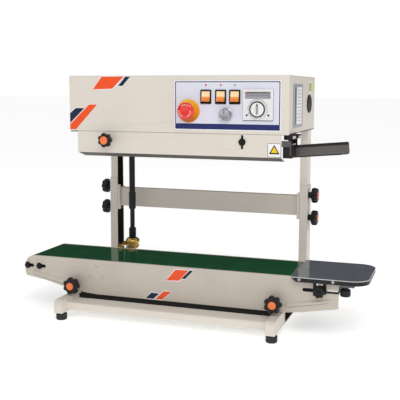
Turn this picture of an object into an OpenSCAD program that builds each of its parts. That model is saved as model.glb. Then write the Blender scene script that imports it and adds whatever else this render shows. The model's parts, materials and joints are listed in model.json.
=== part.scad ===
// Continuous band sealer with an upright head: the bag stands on the belt
// conveyor and its mouth runs through the sealing line under the head.
// X runs along the conveyor, Y runs from the front to the back, Z is up.

/* [Head] */
// Width of the head casing
head_w = 560; // [555:1:565]
// Depth of the head casing
head_d = 310; // [306:1:314]
// Height of the head casing
head_h = 136; // [134:1:138]
// Height of the casing's lower edge above the floor
head_z = 463; // [462:1:464]
// Thickness of the sheet metal of the casing
sheet = 1.5; // [1:0.5:2]
// Drop of the front cover below the casing
cover_drop = 53; // [51:1:55]

/* [Sealing line] */
// Distance of the bag line behind the front face
nip_y = 60; // [59:0.5:61]
// Radius of the wheels that carry the sealing bands
wheel_r = 25; // [24:0.5:25]
// Width of the sealing bands
band_w = 15; // [12:1:16]
// Place of the right wheel pair along the head
wheel_right_x = 160; // [156:1:164]
// Place of the left wheel pair along the head
wheel_left_x = -136; // [-138:1:-134]
// Radius of the rubber press rollers
press_r = 20; // [18:0.5:20]

/* [Conveyor] */
// Height of the belt surface above the floor
belt_top = 140; // [139:0.5:141]
// Width of the belt
belt_w = 150; // [140:1:150]
// Thickness of the belt
belt_t = 2.4; // [2:0.2:2.6]
// Outside depth of the conveyor over its side plates
conveyor_d = 163.7; // [163:0.1:164.4]
// Radius of the end rollers
idler_r = 24; // [23:0.5:24]
// Radius of the drive roller
drive_r = 29; // [28:0.5:29]
// Length of the feed plate
feed_l = 174; // [170:1:178]

/* [Stand] */
// Height of the legs' rectangular section
leg_h = 32; // [31:1:32]
// Width of the legs
leg_w = 22; // [20:1:24]
// Height of the rubber feet
foot_h = 19; // [18:1:20]
// Depth of the columns
column_d = 44; // [43:0.5:46]
// Height of the outer columns' upper ends
column_top = 320; // [318:1:322]

/* [Knobs] */
// Diameter of the conveyor's clamp knobs
front_knob_d = 43; // [42:1:46]
// Diameter of the column's clamp knobs
column_knob_d = 40; // [38:1:42]
// Diameter of the emergency stop's mushroom
mushroom_d = 41; // [38:1:42]
// Number of lobes on a star knob
knob_lobes = 7; // [5:1:8]

/* [Hidden] */
$fn = 48;

// Colours
beige = [0.80, 0.76, 0.70];
beige_shade = [0.72, 0.68, 0.62];
steel = [0.75, 0.76, 0.78];
black = [0.08, 0.08, 0.08];
graphite = [0.16, 0.17, 0.19];
brass = [0.78, 0.62, 0.25];
red = [0.80, 0.08, 0.05];
yellow = [0.95, 0.72, 0.10];
amber = [0.95, 0.50, 0.08];
white = [0.92, 0.92, 0.92];
green = [0.02, 0.25, 0.15];

// Fits
run_gap = 0.06;       // radial clearance of a running shaft
slide_gap = 0.3;      // clearance between sliding sheets
stud_r = 4;           // clamp studs, M8
stud_slot_r = 4.3;    // half width of a clamp slot
far = 1000;           // longer than anything it cuts

// Head planes
head_x = head_w / 2;
casing_r = 3;                        // bend radius of the casing
plate_t = 3;                         // thickness of the head's base plate
deck_z = head_z + plate_t;           // upper face of the base plate
cover_left = -258;
cover_right = 264;
cover_lip = 35;                      // depth of the cover's inward lip
cover_lip_drop = 11;                 // fall of the lip towards its edge
cover_z = head_z - cover_drop;

// Controls on the front
panel_x0 = 1.5;
panel_x1 = 262;
panel_z0 = 470.5;
panel_z1 = 587.5;
panel_t = 1.2;
estop_x = 38;
estop_z = 516;
rocker_z = 549;
rocker_xs = [81, 117.5, 151.8];
speed_x = 130.5;
speed_z = 507.5;
meter_x0 = 172.5;
meter_z0 = 496;
meter_w = 71;
dial_x = 208;
dial_z = 521;
pressure_x = -170.5;
pressure_z = 442.5;
guide_x = 170;
guide_z = 444.5;

// Sealing line
wheel_gap = 1.1;                                // wheel rim to the bag line
wheel_off = wheel_r + wheel_gap;
wheel_z = 425;
band_z = wheel_z + 0.5;
band_gap = 0.3;                                 // band to wheel rim
band_t = 0.5;
press_x = -186;
press_off = press_r + 0.3;
press_z = 421;
press_h = 24;
axle_r = 5;
boss_r = 12;
boss_z = 452;
gear_teeth = 20;
gear_z = 488;
chain_z = 471;
chain_h = 4;
sprocket_small = 14;
sprocket_big = 20;

// Vertical drive shaft
shaft_x = -200;
shaft_y = 200;
tube_r = 8;
shaft_top = 484;
tube_bore_top = 460;
rod_r = 6.45;
collar_r = 9.5;
collar_z0 = 240;
collar_z1 = 286;
coupling_r = 10;
coupling_z0 = 158;
coupling_z1 = 186;
rod_z0 = 131;
rod_z1 = 345;

// Bevel pair
pinion_teeth = 18;
crown_teeth = 30;
pinion_pitch = 18;
crown_pitch = 30;
bevel_shrink = 25 / 35;             // small end over big end
tooth_out = 1.6;

// Conveyor planes
conv_front = -20;                    // outer face of the front plate
conv_t = 2;
conv_back = conv_front + conveyor_d; // outer face of the rear plate
conv_in0 = conv_front + conv_t;
conv_in1 = conv_back - conv_t;
conv_mid = (conv_front + conv_back) / 2;
belt_gap = 0.3;
belt_under = belt_top - belt_t - belt_gap;
idler_z = belt_under - idler_r;
drive_z = belt_under - drive_r;
idler_left_x = -379;
idler_right_x = 290;
drive_x = shaft_x;
roller_y0 = -8;
roller_y1 = 132;
tension_bolts = [-398.5, -364.5];
tension_travel = 14;
feed_x = 298;
feed_slot_x = 327;                   // closed end of the feed plate's slot, centre
feed_stud_x = 363;
feed_stud_z = 111;
clamp_x = 259.5;
clamp_z = 75.5;
clamp_rise = 20;
plate_end = 406;
// Outline of a side plate, from its left end round the bottom
side_outline = [
  [-384, belt_top], [-397, 134], [-406, 120], [-406, 93], [-402, 86], [-349, 78],
  [-288, 64], [-231, 54.5], [-200, 52.5], [278, 52.5], [318, 56.5],
  [plate_end, 72], [plate_end, belt_top]
];

// Stand planes
leg_x = 267;
leg_y0 = -101;
leg_y1 = 305;
leg_top = foot_h + leg_h;
nose_r = 14;
wall = 2;
column_x = 282;                      // outer face of the outer column
column_w = 22;
column_y = 232;
column_t = 2;
inner_x = column_x - column_t - slide_gap;
inner_y = column_y + column_t + slide_gap;
stud_y = 244;
stud_zs = [235.5, 294.5];
bar_y = 240;
bar_z = 240;
bar_h = 52;

// Whole object: the origin is under the middle of its box
flange_out = 2;                      // power inlet behind the casing
x_low = -plate_end;
x_high = feed_x + feed_l;
y_low = leg_y0;
y_high = head_d + flange_out;
mid_x = (x_low + x_high) / 2;
mid_y = (y_low + y_high) / 2;

// ---- Shared shapes ----

module machine(c) {
  color(c) translate([-mid_x, -mid_y, 0]) children();
}

module rod_x(x, y, z, len, r) {
  translate([x, y, z]) rotate([0, 90, 0]) cylinder(h = len, r = r);
}

module rod_y(x, y, z, len, r) {
  translate([x, y, z]) rotate([-90, 0, 0]) cylinder(h = len, r = r);
}

module rod_z(x, y, z, len, r) {
  translate([x, y, z]) cylinder(h = len, r = r);
}

// An outline drawn in X and Z, with a thickness along +Y
module plate_y(y, t) {
  translate([0, y + t, 0]) rotate([90, 0, 0]) linear_extrude(t) children();
}

// An outline drawn in Y and Z, with a thickness along +X
module plate_x(x, t) {
  translate([x, 0, 0]) rotate([90, 0, 90]) linear_extrude(t) children();
}

// Rectangle with round corners, its low corner at the origin
module round_rect(w, h, r) {
  translate([r, 0]) square([w - 2 * r, h]);
  translate([0, r]) square([w, h - 2 * r]);
  for (x = [r, w - r], y = [r, h - r]) translate([x, y]) circle(r);
}

// Slot between two centres on one height
module slot_2d(x0, x1, z, r) {
  translate([x0, z - r]) square([x1 - x0, 2 * r]);
  for (x = [x0, x1]) translate([x, z]) circle(r);
}

module upright_slot_2d(x, z0, z1, r) {
  translate([x - r, z0]) square([2 * r, z1 - z0]);
  for (z = [z0, z1]) translate([x, z]) circle(r);
}

function polar(r, a) = [r * cos(a), r * sin(a)];

// Toothed outline: one tooth is centred on the angle first
module gear_2d(teeth, tip, root, first) {
  step = 360 / teeth;
  polygon([
    for (i = [0 : teeth - 1]) each [
      polar(root, first + i * step - 0.27 * step),
      polar(tip, first + i * step - 0.12 * step),
      polar(tip, first + i * step + 0.12 * step),
      polar(root, first + i * step + 0.27 * step)
    ]
  ]);
}

// Star knob standing on z = 0: hub, lobed head and cap
module star_knob(d, hub_h, head_h) {
  r = d / 2;
  lobe_r = 0.27 * r;
  cylinder(h = hub_h, r = 0.45 * r);
  translate([0, 0, hub_h]) linear_extrude(head_h) {
    circle(0.80 * r);
    for (i = [1 : knob_lobes]) rotate(i * 360 / knob_lobes) translate([r - lobe_r, 0]) circle(lobe_r);
  }
  translate([0, 0, hub_h + head_h]) cylinder(h = 1.5, r = 0.45 * r);
}

// Knob on a stud that reaches back from the knob's seat
module clamp_knob(d, hub_h, head_h, stud) {
  star_knob(d, hub_h, head_h);
  translate([0, 0, -stud]) cylinder(h = stud + 1, r = stud_r);
}

// ---- Stand ----

module leg_profile(inset) {
  z0 = foot_h + inset;
  translate([leg_y0 + nose_r, z0]) square([leg_y1 - leg_y0 - 2 * nose_r, leg_h - 2 * inset]);
  translate([leg_y0 + inset, z0])
    square([leg_y1 - leg_y0 - 2 * inset, leg_h - inset - nose_r]);
  for (y = [leg_y0 + nose_r, leg_y1 - nose_r])
    translate([y, leg_top - nose_r]) circle(nose_r - inset);
}

leg_open_y = 5;
leg_toe = 36;            // closed length of the toe over the front foot

// Right leg: open below in front, then a channel whose open side faces outwards
module leg() {
  x0 = leg_x - leg_w / 2;
  difference() {
    plate_x(x0, leg_w) leg_profile(0);
    plate_x(x0 + wall, leg_w) intersection() {
      leg_profile(wall);
      translate([leg_open_y, 0]) square([far, far]);
    }
    translate([x0 + wall, leg_y0 + leg_toe, foot_h - 1])
      cube([leg_w - 2 * wall, leg_open_y - wall - leg_y0 - leg_toe, leg_h + 1 - wall]);
  }
}

beam_d = 50;
beam_h = 20;
beam_z = 24;
beam_ys = [-81, 236];

module beam(y) {
  half = leg_x - leg_w / 2;
  difference() {
    plate_x(-half, 2 * half) translate([y, beam_z]) round_rect(beam_d, beam_h, 4);
    plate_x(-half, 2 * half)
      translate([y + wall, beam_z + wall]) round_rect(beam_d - 2 * wall, beam_h - 2 * wall, 2);
  }
}

bracket_w = 28;
bracket_x0 = 248;
bracket_top = 104;
bracket_t = 3;

// Upright that carries one corner of the conveyor, slotted for its height
module conveyor_upright(y, foot_y, foot_l) {
  difference() {
    plate_y(y, bracket_t)
      translate([bracket_x0, leg_top]) square([bracket_w, bracket_top - leg_top]);
    plate_y(y - 1, bracket_t + 2)
      upright_slot_2d(clamp_x, clamp_z, clamp_z + clamp_rise, stud_slot_r);
  }
  translate([bracket_x0, foot_y, leg_top]) cube([bracket_w, foot_l, bracket_t]);
}

module base_frame() {
  machine(beige) {
    for (side = [0, 1]) mirror([side, 0, 0]) {
      leg();
      conveyor_upright(conv_in0 + slide_gap, conv_in0 + slide_gap, 30);
      conveyor_upright(conv_back + slide_gap, conv_back + slide_gap, 26);
    }
    for (y = beam_ys) beam(y);
  }
}

foot_ys = [-83, 287];
foot_r = 13.5;

module rubber_feet() {
  machine(black)
    for (side = [-1, 1], y = foot_ys) translate([side * leg_x, y, 0]) {
      cylinder(h = 4, r1 = foot_r - 1, r2 = foot_r);
      translate([0, 0, 4]) cylinder(h = foot_h - 7, r = foot_r);
      translate([0, 0, foot_h - 3]) cylinder(h = 3, r = 7);
    }
}

foot_plate_h = 4;

// Outer column on the right side: a channel open towards the middle
module lower_column() {
  difference() {
    translate([column_x - column_w, column_y, leg_top]) cube([column_w, column_d, column_top - leg_top]);
    translate([column_x - column_w - 1, column_y + column_t, leg_top + foot_plate_h])
      cube([column_w + 1 - column_t, column_d - 2 * column_t, column_top]);
    translate([column_x - column_w - 1, column_y - 1, leg_top + foot_plate_h])
      cube([1.6, column_d + 2, column_top]);
    translate([column_x - column_w, 0, 0])
      plate_x(0, far) upright_slot_2d(stud_y, 204, 306, stud_slot_r);
  }
}

module column_lower_right() {
  machine(beige) lower_column();
}

module column_lower_left() {
  machine(beige) mirror([1, 0, 0]) lower_column();
}

upper_column_z = 228;
upper_flange = 44;

// Inner column on the right side, bolted under the head
module upper_column() {
  inner_w = inner_x - (column_x - column_w);
  inner_d = column_d - 2 * (column_t + slide_gap);
  difference() {
    translate([column_x - column_w, inner_y, upper_column_z])
      cube([inner_w, inner_d, head_z - upper_column_z]);
    translate([column_x - column_w - 1, inner_y + column_t, upper_column_z - 1])
      cube([inner_w + 1 - column_t, inner_d - 2 * column_t, head_z - upper_column_z - plate_t + 1]);
    for (z = stud_zs) rod_x(column_x - column_w, stud_y, z, column_w, stud_r + run_gap);
  }
  translate([inner_x - upper_flange, inner_y, head_z - plate_t])
    cube([upper_flange, inner_d, plate_t]);
}

module column_upper_right() {
  machine(beige) upper_column();
}

module column_upper_left() {
  machine(beige) mirror([1, 0, 0]) upper_column();
}

bar_d = 20;
end_plate_z = [231, 300];  // tall part, in front of the bar
end_tab_w = 6.5;
end_tab_d = 7.5;

module crossbar() {
  half = column_x - column_w;
  machine(beige_shade) {
    difference() {
      translate([-half + plate_t, bar_y, bar_z])
        cube([2 * (half - plate_t), bar_d, bar_h]);
      translate([-half, bar_y + wall, bar_z + wall])
        cube([2 * half, bar_d - 2 * wall, bar_h - 2 * wall]);
    }
    for (side = [0, 1]) mirror([side, 0, 0]) {
      translate([half - end_tab_w, column_y, end_plate_z[0]])
        cube([end_tab_w, end_tab_d, end_plate_z[1] - end_plate_z[0]]);
      difference() {
        translate([half - plate_t, column_y, bar_z])
          cube([plate_t, column_d, bar_h]);
        for (z = stud_zs) rod_x(half - 2 * plate_t, stud_y, z, 3 * plate_t, stud_r + run_gap);
      }
    }
  }
}

knob_seat = 0.3;

// Clamp knob on a column: side is -1 for the left one and 1 for the right one
module column_knob(side, z) {
  machine(black) translate([side * (column_x + knob_seat), stud_y, z]) rotate([0, side * 90, 0])
    clamp_knob(column_knob_d, 8, 17, column_w + knob_seat + 1.5);
}

module column_knob_left_upper() { column_knob(-1, stud_zs[1]); }
module column_knob_left_lower() { column_knob(-1, stud_zs[0]); }
module column_knob_right_upper() { column_knob(1, stud_zs[1]); }
module column_knob_right_lower() { column_knob(1, stud_zs[0]); }

// ---- Conveyor ----

rib_r = 4.6;
rib_lift = 0.8;

// Pressed rib on the outside of the front plate, between two points
module rib(a, b) {
  run = norm(b - a);
  turn = atan2(b[1] - a[1], b[0] - a[0]);
  intersection() {
    translate([a[0], conv_front + rib_lift, a[1]]) rotate([0, -turn, 0]) {
      rotate([0, 90, 0]) cylinder(h = run, r = rib_r);
      sphere(rib_r);
      translate([run, 0, 0]) sphere(rib_r);
    }
    translate([-far, conv_front - rib_r, 0]) cube([2 * far, rib_r + conv_t / 2, far]);
  }
}

bearing_screw_r = 19;
bearing_angles = [90, 210, 330];

module side_cuts() {
  for (x = tension_bolts) slot_2d(x, x + tension_travel, idler_z, stud_slot_r);
  slot_2d(feed_slot_x, plate_end + 5, feed_stud_z, stud_slot_r);
}

flange_w = 5.4;
flange_t = 1.4;
flange_x = side_outline[0][0];       // left end of the top flange
shaft_hole_r = 10;
nut_r = 7;
nut_h = 5;

module conveyor_front_plate() {
  machine(beige_shade) {
    plate_y(conv_front, conv_t) difference() {
      polygon(side_outline);
      side_cuts();
      for (side = [-1, 1]) translate([side * clamp_x, clamp_z]) circle(stud_r + run_gap);
      for (a = bearing_angles)
        translate([drive_x, drive_z] + polar(bearing_screw_r, a)) circle(bearing_hole_r);
    }
    translate([flange_x, conv_front, belt_top - flange_t])
      cube([plate_end - flange_x, flange_w, flange_t]);
    rib([-379, 95.5], [-289, 75.5]);
    rib([287, 71], [383, 88.5]);
  }
}

// The rear plate carries its own studs, which slide in the stand's uprights
module conveyor_rear_plate() {
  machine(beige_shade) {
    plate_y(conv_back - conv_t, conv_t) difference() {
      polygon(side_outline);
      side_cuts();
      translate([drive_x, drive_z]) circle(shaft_hole_r);
    }
    translate([flange_x, conv_back - flange_w, belt_top - flange_t])
      cube([plate_end - flange_x, flange_w, flange_t]);
    for (side = [-1, 1]) {
      rod_y(side * clamp_x, conv_back - 1, clamp_z, 12, stud_r);
      rod_y(side * clamp_x, conv_back + bracket_t + 2 * slide_gap, clamp_z, nut_h, nut_r);
    }
  }
}

deck_spans = [[-338, -236], [-164, 262]];
deck_t = 2;
deck_under = belt_under - 0.4 - deck_t;
tie_bar_xs = [-300, 0, 225];
tie_bar_z = 108;
tie_bar_r = 6;
strut_w = 4;
strut_d = 12;
strut_in = 30;           // strut to the side plates
end_bar_x = 392;
end_bar_z = 88;

// Plates under the belt on struts and tie bars, and the right idler's axle
module conveyor_deck() {
  inside = conv_in1 - conv_in0;
  machine(steel) {
    for (s = deck_spans)
      translate([s[0], conv_in0, deck_under]) cube([s[1] - s[0], inside, deck_t]);
    for (x = tie_bar_xs) {
      rod_y(x, conv_in0, tie_bar_z, inside, tie_bar_r);
      for (y = [conv_in0 + strut_in, conv_in1 - strut_in - strut_d])
        translate([x - strut_w / 2, y, tie_bar_z]) cube([strut_w, strut_d, deck_under - tie_bar_z]);
    }
    rod_y(idler_right_x, conv_in0, idler_z, inside, axle_r);
    rod_y(end_bar_x, conv_in0, end_bar_z, inside, tie_bar_r);
  }
}

module belt_outline(grow) {
  hull() {
    translate([idler_left_x, idler_z]) circle(r = idler_r + grow, $fn = 72);
    translate([drive_x, drive_z]) circle(r = drive_r + grow, $fn = 72);
    translate([idler_right_x, idler_z]) circle(r = idler_r + grow, $fn = 72);
  }
}

module conveyor_belt() {
  machine(green) plate_y(conv_mid - belt_w / 2, belt_w) difference() {
    belt_outline(belt_gap + belt_t);
    belt_outline(belt_gap);
  }
}

bearing_r = 24;
bearing_h = 8;
journal_r = 6;           // ends of the drive roller
bearing_hole_r = 2.6;
screw_head_r = 3.6;
screw_head_h = 1.8;

module drive_bearing() {
  difference() {
    rod_y(drive_x, 0, drive_z, bearing_h, bearing_r);
    rod_y(drive_x, -1, drive_z, bearing_h + 2, journal_r + run_gap);
  }
}

module drive_bearings() {
  machine(steel) {
    translate([0, conv_in0, 0]) drive_bearing();
    translate([0, conv_in1 - bearing_h, 0]) drive_bearing();
    for (a = bearing_angles) {
      p = [drive_x, drive_z] + polar(bearing_screw_r, a);
      rod_y(p[0], conv_front - screw_head_h, p[1], screw_head_h, screw_head_r);
      rod_y(p[0], conv_front - 1, p[1], conv_t + 2, bearing_hole_r - 0.1);
    }
  }
}

roller_end = 5;
roller_wall = 4;

// Hollow roller with solid ends
module roller_shell(x, z, r, hole) {
  difference() {
    rod_y(x, roller_y0, z, roller_y1 - roller_y0, r);
    rod_y(x, roller_y0 + roller_end, z, roller_y1 - roller_y0 - 2 * roller_end, r - roller_wall);
    if (hole > 0) rod_y(x, roller_y0 - 1, z, roller_y1 - roller_y0 + 2, hole);
  }
}

crown_y = shaft_y - pinion_pitch;
crown_root = 27;
crown_hub_r = 22;
crown_hub_h = 14;

// Drive roller with the large bevel wheel on its rear end
module drive_roller() {
  machine(steel) {
    roller_shell(drive_x, drive_z, drive_r, 0);
    rod_y(drive_x, conv_in0 + slide_gap, drive_z, crown_y + 6 - conv_in0, journal_r);
    rod_y(drive_x, crown_y - crown_hub_h, drive_z, crown_hub_h, crown_hub_r);
    translate([drive_x, crown_y, drive_z]) rotate([-90, 0, 0])
      linear_extrude(height = pinion_pitch * (1 - bevel_shrink), scale = bevel_shrink)
        gear_2d(crown_teeth, crown_pitch + tooth_out, crown_root, -90);
  }
}

pinion_root = 16.6;
pinion_first = 280;      // turns a gap of the small wheel onto a tooth of the large one

module bevel_pinion() {
  big_z = drive_z + crown_pitch;
  machine(brass) translate([shaft_x, shaft_y, big_z]) difference() {
    union() {
      mirror([0, 0, 1]) linear_extrude(height = crown_pitch * (1 - bevel_shrink), scale = bevel_shrink)
        gear_2d(pinion_teeth, pinion_pitch + tooth_out, pinion_root, pinion_first);
      cylinder(h = 3, r = 16);
      cylinder(h = coupling_z0 - big_z, r = housing_bore);
    }
    translate([0, 0, -12]) cylinder(h = 60, r = rod_r + 0.05);
  }
}

module lower_shaft() {
  machine(black) {
    rod_z(shaft_x, shaft_y, rod_z0, rod_z1 - rod_z0, rod_r);
    rod_z(shaft_x, shaft_y, coupling_z0, coupling_z1 - coupling_z0, coupling_r);
  }
}

housing_z = 143;
// Outline of the domed gear housing: radius and height above its lower face
housing_profile = [[17, 0], [19.4, 3], [20, 6], [19.2, 9.5], [17, 12.5], [14.6, 15]];
housing_bore = 13;
arm_x = -220;            // left side of the arm
arm_w = 13;
arm_t = 6;
bracket_foot_z = 100;
bracket_foot_t = 3;

// Domed housing on an arm that is bolted to the rear plate
module gear_bracket() {
  housing_h = housing_profile[len(housing_profile) - 1][1];
  machine(brass) {
    translate([shaft_x, shaft_y, housing_z]) rotate_extrude() polygon([
      [housing_bore + run_gap, 0], each housing_profile, [housing_bore + run_gap, housing_h]
    ]);
    translate([arm_x, conv_back, housing_z]) difference() {
      cube([arm_w, shaft_y - conv_back, arm_t]);
      translate([shaft_x - arm_x, shaft_y - conv_back, -1])
        cylinder(h = arm_t + 2, r = housing_bore + run_gap);
    }
    translate([arm_x, conv_back, bracket_foot_z])
      cube([arm_w, bracket_foot_t, housing_z + arm_t - bracket_foot_z]);
  }
}

module idler_left() {
  machine(steel) roller_shell(idler_left_x, idler_z, idler_r, axle_r + run_gap);
}

module idler_right() {
  machine(steel) roller_shell(idler_right_x, idler_z, idler_r, axle_r + run_gap);
}

block_t = 4.2;
block_h = 20;
block_x = tension_bolts[0] - 5.5;
block_l = tension_bolts[1] - tension_bolts[0] + 18;
bolt_r = 3.9;
washer_r = 8;
washer_h = 1.4;
hex_r = 6;
hex_h = 5;
rear_nut_r = 6.5;

// Sliding blocks in the side plates with the left idler's axle between them
module tension_blocks() {
  washer_y = conv_front - slide_gap - washer_h;
  machine(graphite) {
    for (y = [conv_in0 + slide_gap, conv_in1 - slide_gap - block_t])
      translate([block_x, y, idler_z - block_h / 2]) cube([block_l, block_t, block_h]);
    rod_y(idler_left_x, conv_in0 + slide_gap, idler_z, conv_in1 - conv_in0 - 2 * slide_gap, axle_r);
    for (x = tension_bolts) {
      rod_y(x, conv_front - slide_gap - 5, idler_z, 9, bolt_r);
      rod_y(x, washer_y, idler_z, washer_h, washer_r);
      translate([x, washer_y, idler_z]) rotate([90, 0, 0]) cylinder(h = hex_h, r = hex_r, $fn = 6);
      rod_y(x, conv_in1 - 4, idler_z, 9, bolt_r);
      rod_y(x, conv_back + slide_gap, idler_z, hex_h, rear_nut_r);
    }
  }
}

feed_y0 = -32;
feed_y1 = 152;
feed_z = belt_top + 0.4;
feed_t = 2;
skirt_z = 131;
feed_corner = 38;
skirt_cut = 12;      // slant of the skirt's ends beside the belt

// Half-rounded table outline: square at the belt, round at the free end
module feed_outline(inset) {
  w = feed_l - inset;
  d = feed_y1 - feed_y0 - 2 * inset;
  r = feed_corner - inset;
  translate([feed_x, feed_y0 + inset]) {
    square([w - r, d]);
    translate([0, r]) square([w, d - 2 * r]);
    for (y = [r, d - r]) translate([w - r, y]) circle(r);
  }
}

tab_w = 30;
tab_t = 2;
tab_z = 104;
tab_ys = [conv_front - 0.6 - tab_t, conv_back + 0.6];
lower_knob = [419, -5];                  // place of the knob under the free end
lower_seat = 122;
lower_block = [[410, -14], [440, 12]];   // corners of the block over that knob
slide_bar = [[372, 105], [404, 117]];    // corners of the bar that shows in the slot, in X and Z
slide_bar_t = 2.5;
bar_riser = [398, -11.5];                // left end and rear face of the riser on that bar
riser_w = 5;
feed_screw_xs = [317, 394];
feed_screw_z = 136.5;

// Feed plate with its skirt, the two clamp tabs and the block of the lower knob
module feed_plate() {
  machine(graphite) {
    difference() {
      translate([0, 0, skirt_z]) linear_extrude(feed_z + feed_t - skirt_z) feed_outline(0);
      translate([0, 0, skirt_z - 1]) linear_extrude(feed_z - skirt_z + 1) feed_outline(feed_t);
      plate_y(-far / 2, far) polygon([
        [feed_x - 1, skirt_z - 1], [feed_x + skirt_cut, skirt_z - 1],
        [feed_x, feed_z], [feed_x - 1, feed_z]
      ]);
    }
    for (y = tab_ys) difference() {
      translate([feed_stud_x - tab_w / 2, y, tab_z]) cube([tab_w, tab_t, feed_z - tab_z + 1]);
      rod_y(feed_stud_x, y - 1, feed_stud_z, tab_t + 2, stud_r + run_gap);
    }
    translate([lower_block[0][0], lower_block[0][1], lower_seat]) cube([
      lower_block[1][0] - lower_block[0][0],
      lower_block[1][1] - lower_block[0][1],
      feed_z - lower_seat + 1
    ]);
    translate([slide_bar[0][0], conv_in0 + slide_gap, slide_bar[0][1]]) cube([
      slide_bar[1][0] - slide_bar[0][0],
      slide_bar_t,
      slide_bar[1][1] - slide_bar[0][1]
    ]);
    translate([bar_riser[0], conv_in0 + slide_gap, slide_bar[1][1] - riser_w])
      cube([riser_w, bar_riser[1] - conv_in0 - slide_gap, riser_w]);
    translate([bar_riser[0], bar_riser[1] - slide_bar_t, slide_bar[1][1] - riser_w])
      cube([riser_w, slide_bar_t, feed_z - slide_bar[1][1] + riser_w + 1]);
    for (x = feed_screw_xs)
      translate([x, feed_y0, feed_screw_z]) rotate([90, 0, 0]) cylinder(h = 1.6, r = 3.4);
    rod_y(feed_stud_x, conv_in1 - 4, feed_stud_z, 15, stud_r - 0.2);
    rod_y(feed_stud_x, tab_ys[1] + tab_t - 0.6, feed_stud_z, 6, washer_r);
  }
}

feed_knob_d = 28;

module feed_knob_front() {
  machine(black) translate([feed_stud_x, tab_ys[0] - 0.4, feed_stud_z]) rotate([90, 0, 0])
    clamp_knob(feed_knob_d, 5, 13, 9);
}

lower_knob_r = 10.5;
lower_knob_h = 18;
lower_knob_ribs = 12;

module feed_knob_lower() {
  machine(black) translate([lower_knob[0], lower_knob[1], lower_seat - 0.4]) mirror([0, 0, 1]) {
    cylinder(h = 4, r = 7);
    translate([0, 0, 4]) linear_extrude(lower_knob_h) {
      circle(lower_knob_r);
      for (i = [1 : lower_knob_ribs])
        rotate(i * 360 / lower_knob_ribs) translate([lower_knob_r - 0.3, 0]) circle(1.8);
    }
  }
}

// Clamp knob through the front plate and the stand's upright
module conveyor_knob(side) {
  machine(black) translate([side * clamp_x, conv_front - knob_seat, clamp_z]) rotate([90, 0, 0])
    clamp_knob(front_knob_d, 14, 20, 8);
}

module conveyor_knob_left() { conveyor_knob(-1); }
module conveyor_knob_right() { conveyor_knob(1); }

// ---- Head shell ----

// Block with every outer edge that the sheet is bent along rounded
module bent_block(inset, r) {
  w = head_w - 2 * inset;
  d = head_d - 2 * inset;
  intersection() {
    translate([-w / 2, inset, 0]) linear_extrude(far) round_rect(w, d, r);
    plate_y(-far / 2, far)
      translate([-w / 2, head_z - 50]) round_rect(w, head_h + 50 - inset, r);
    plate_x(-far / 2, far)
      translate([inset, head_z - 50]) round_rect(d, head_h + 50 - inset, r);
  }
}

bezel_w = 27;
bezel_h = 33.5;
rocker_w = 20;
cut_w = 22.6;
cut_h = 30;

// Every opening of the front controls
module control_cuts() {
  translate([estop_x, estop_z]) circle(11.3);
  for (x = rocker_xs) translate([x - cut_w / 2, rocker_z - cut_h / 2]) square([cut_w, cut_h]);
  translate([speed_x, speed_z]) circle(5);
  translate([meter_x0 + 2, meter_z0 + 2]) square([meter_w - 4, meter_w - 4]);
}

vent_y = 230;
vent_z = 531;
vent_r = 23;

module head_casing() {
  machine(beige) difference() {
    bent_block(0, casing_r);
    bent_block(sheet, casing_r - sheet);
    translate([-far / 2, -1, head_z - 60]) cube([far, far, 60]);
    translate([-head_x + sheet + 12, head_d - 10, head_z - 1])
      cube([head_w - 2 * sheet - 24, 20, head_h - 13]);
    plate_y(-2, 10) control_cuts();
    rod_x(head_x - 5, vent_y, vent_z, 10, 19);
  }
}

inlet_x = 200;
inlet_z = 494;
inlet_cut_w = 26;        // notch of the rear panel over the inlet's body
inlet_cut_top = 504;
panel_gap = 1;

// Rear panel inside the casing, notched from below for the power inlet
module back_panel() {
  machine(beige) difference() {
    translate([-head_x + sheet + panel_gap, head_d - 2 * sheet - 0.2, deck_z + 0.2])
      cube([head_w - 2 * (sheet + panel_gap), sheet, head_h - plate_t - sheet - 1.6]);
    translate([inlet_x - inlet_cut_w / 2, head_d - 10, head_z])
      cube([inlet_cut_w, 20, inlet_cut_top - head_z]);
  }
}

wheel_ys = [nip_y - wheel_off, nip_y + wheel_off];
press_ys = [nip_y - press_off, nip_y + press_off];
axle_spots = [
  [wheel_left_x, wheel_ys[0]], [wheel_left_x, wheel_ys[1]],
  [wheel_right_x, wheel_ys[0]], [wheel_right_x, wheel_ys[1]],
  [press_x, press_ys[0]], [press_x, press_ys[1]]
];

// Chassis plate with a hanging bearing boss at each axle
module base_plate() {
  machine(beige_shade) difference() {
    union() {
      translate([-head_x + sheet + 0.2, sheet + 0.2, head_z]) linear_extrude(plate_t)
        round_rect(head_w - 2 * sheet - 0.4, head_d - 2 * sheet - 0.4, casing_r - sheet);
      for (p = axle_spots) rod_z(p[0], p[1], boss_z, head_z - boss_z, boss_r);
      rod_z(shaft_x, shaft_y, boss_z, head_z - boss_z, 14);
    }
    for (p = axle_spots) rod_z(p[0], p[1], boss_z - 1, far, axle_r + run_gap);
    rod_z(shaft_x, shaft_y, boss_z - 1, far, tube_r + run_gap);
  }
}

module front_cover() {
  lip_z = cover_z - cover_lip_drop;
  machine(beige) difference() {
    plate_x(cover_left, cover_right - cover_left) polygon([
      [0, head_z], [18, head_z], [18, head_z - sheet], [sheet, head_z - sheet],
      [sheet, cover_z + 1], [cover_lip + 0.3, lip_z + sheet], [cover_lip, lip_z], [0, cover_z]
    ]);
    translate([cover_left, 0, 0]) rotate([0, 0, -64]) translate([-60, 0, 0]) cube([60, 60, head_z - 6]);
    rod_y(pressure_x, -1, pressure_z, 5, 3 + run_gap);
    plate_y(-1, 5) upright_slot_2d(guide_x, guide_z - 14, guide_z + 14, 2.8);
  }
}

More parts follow.
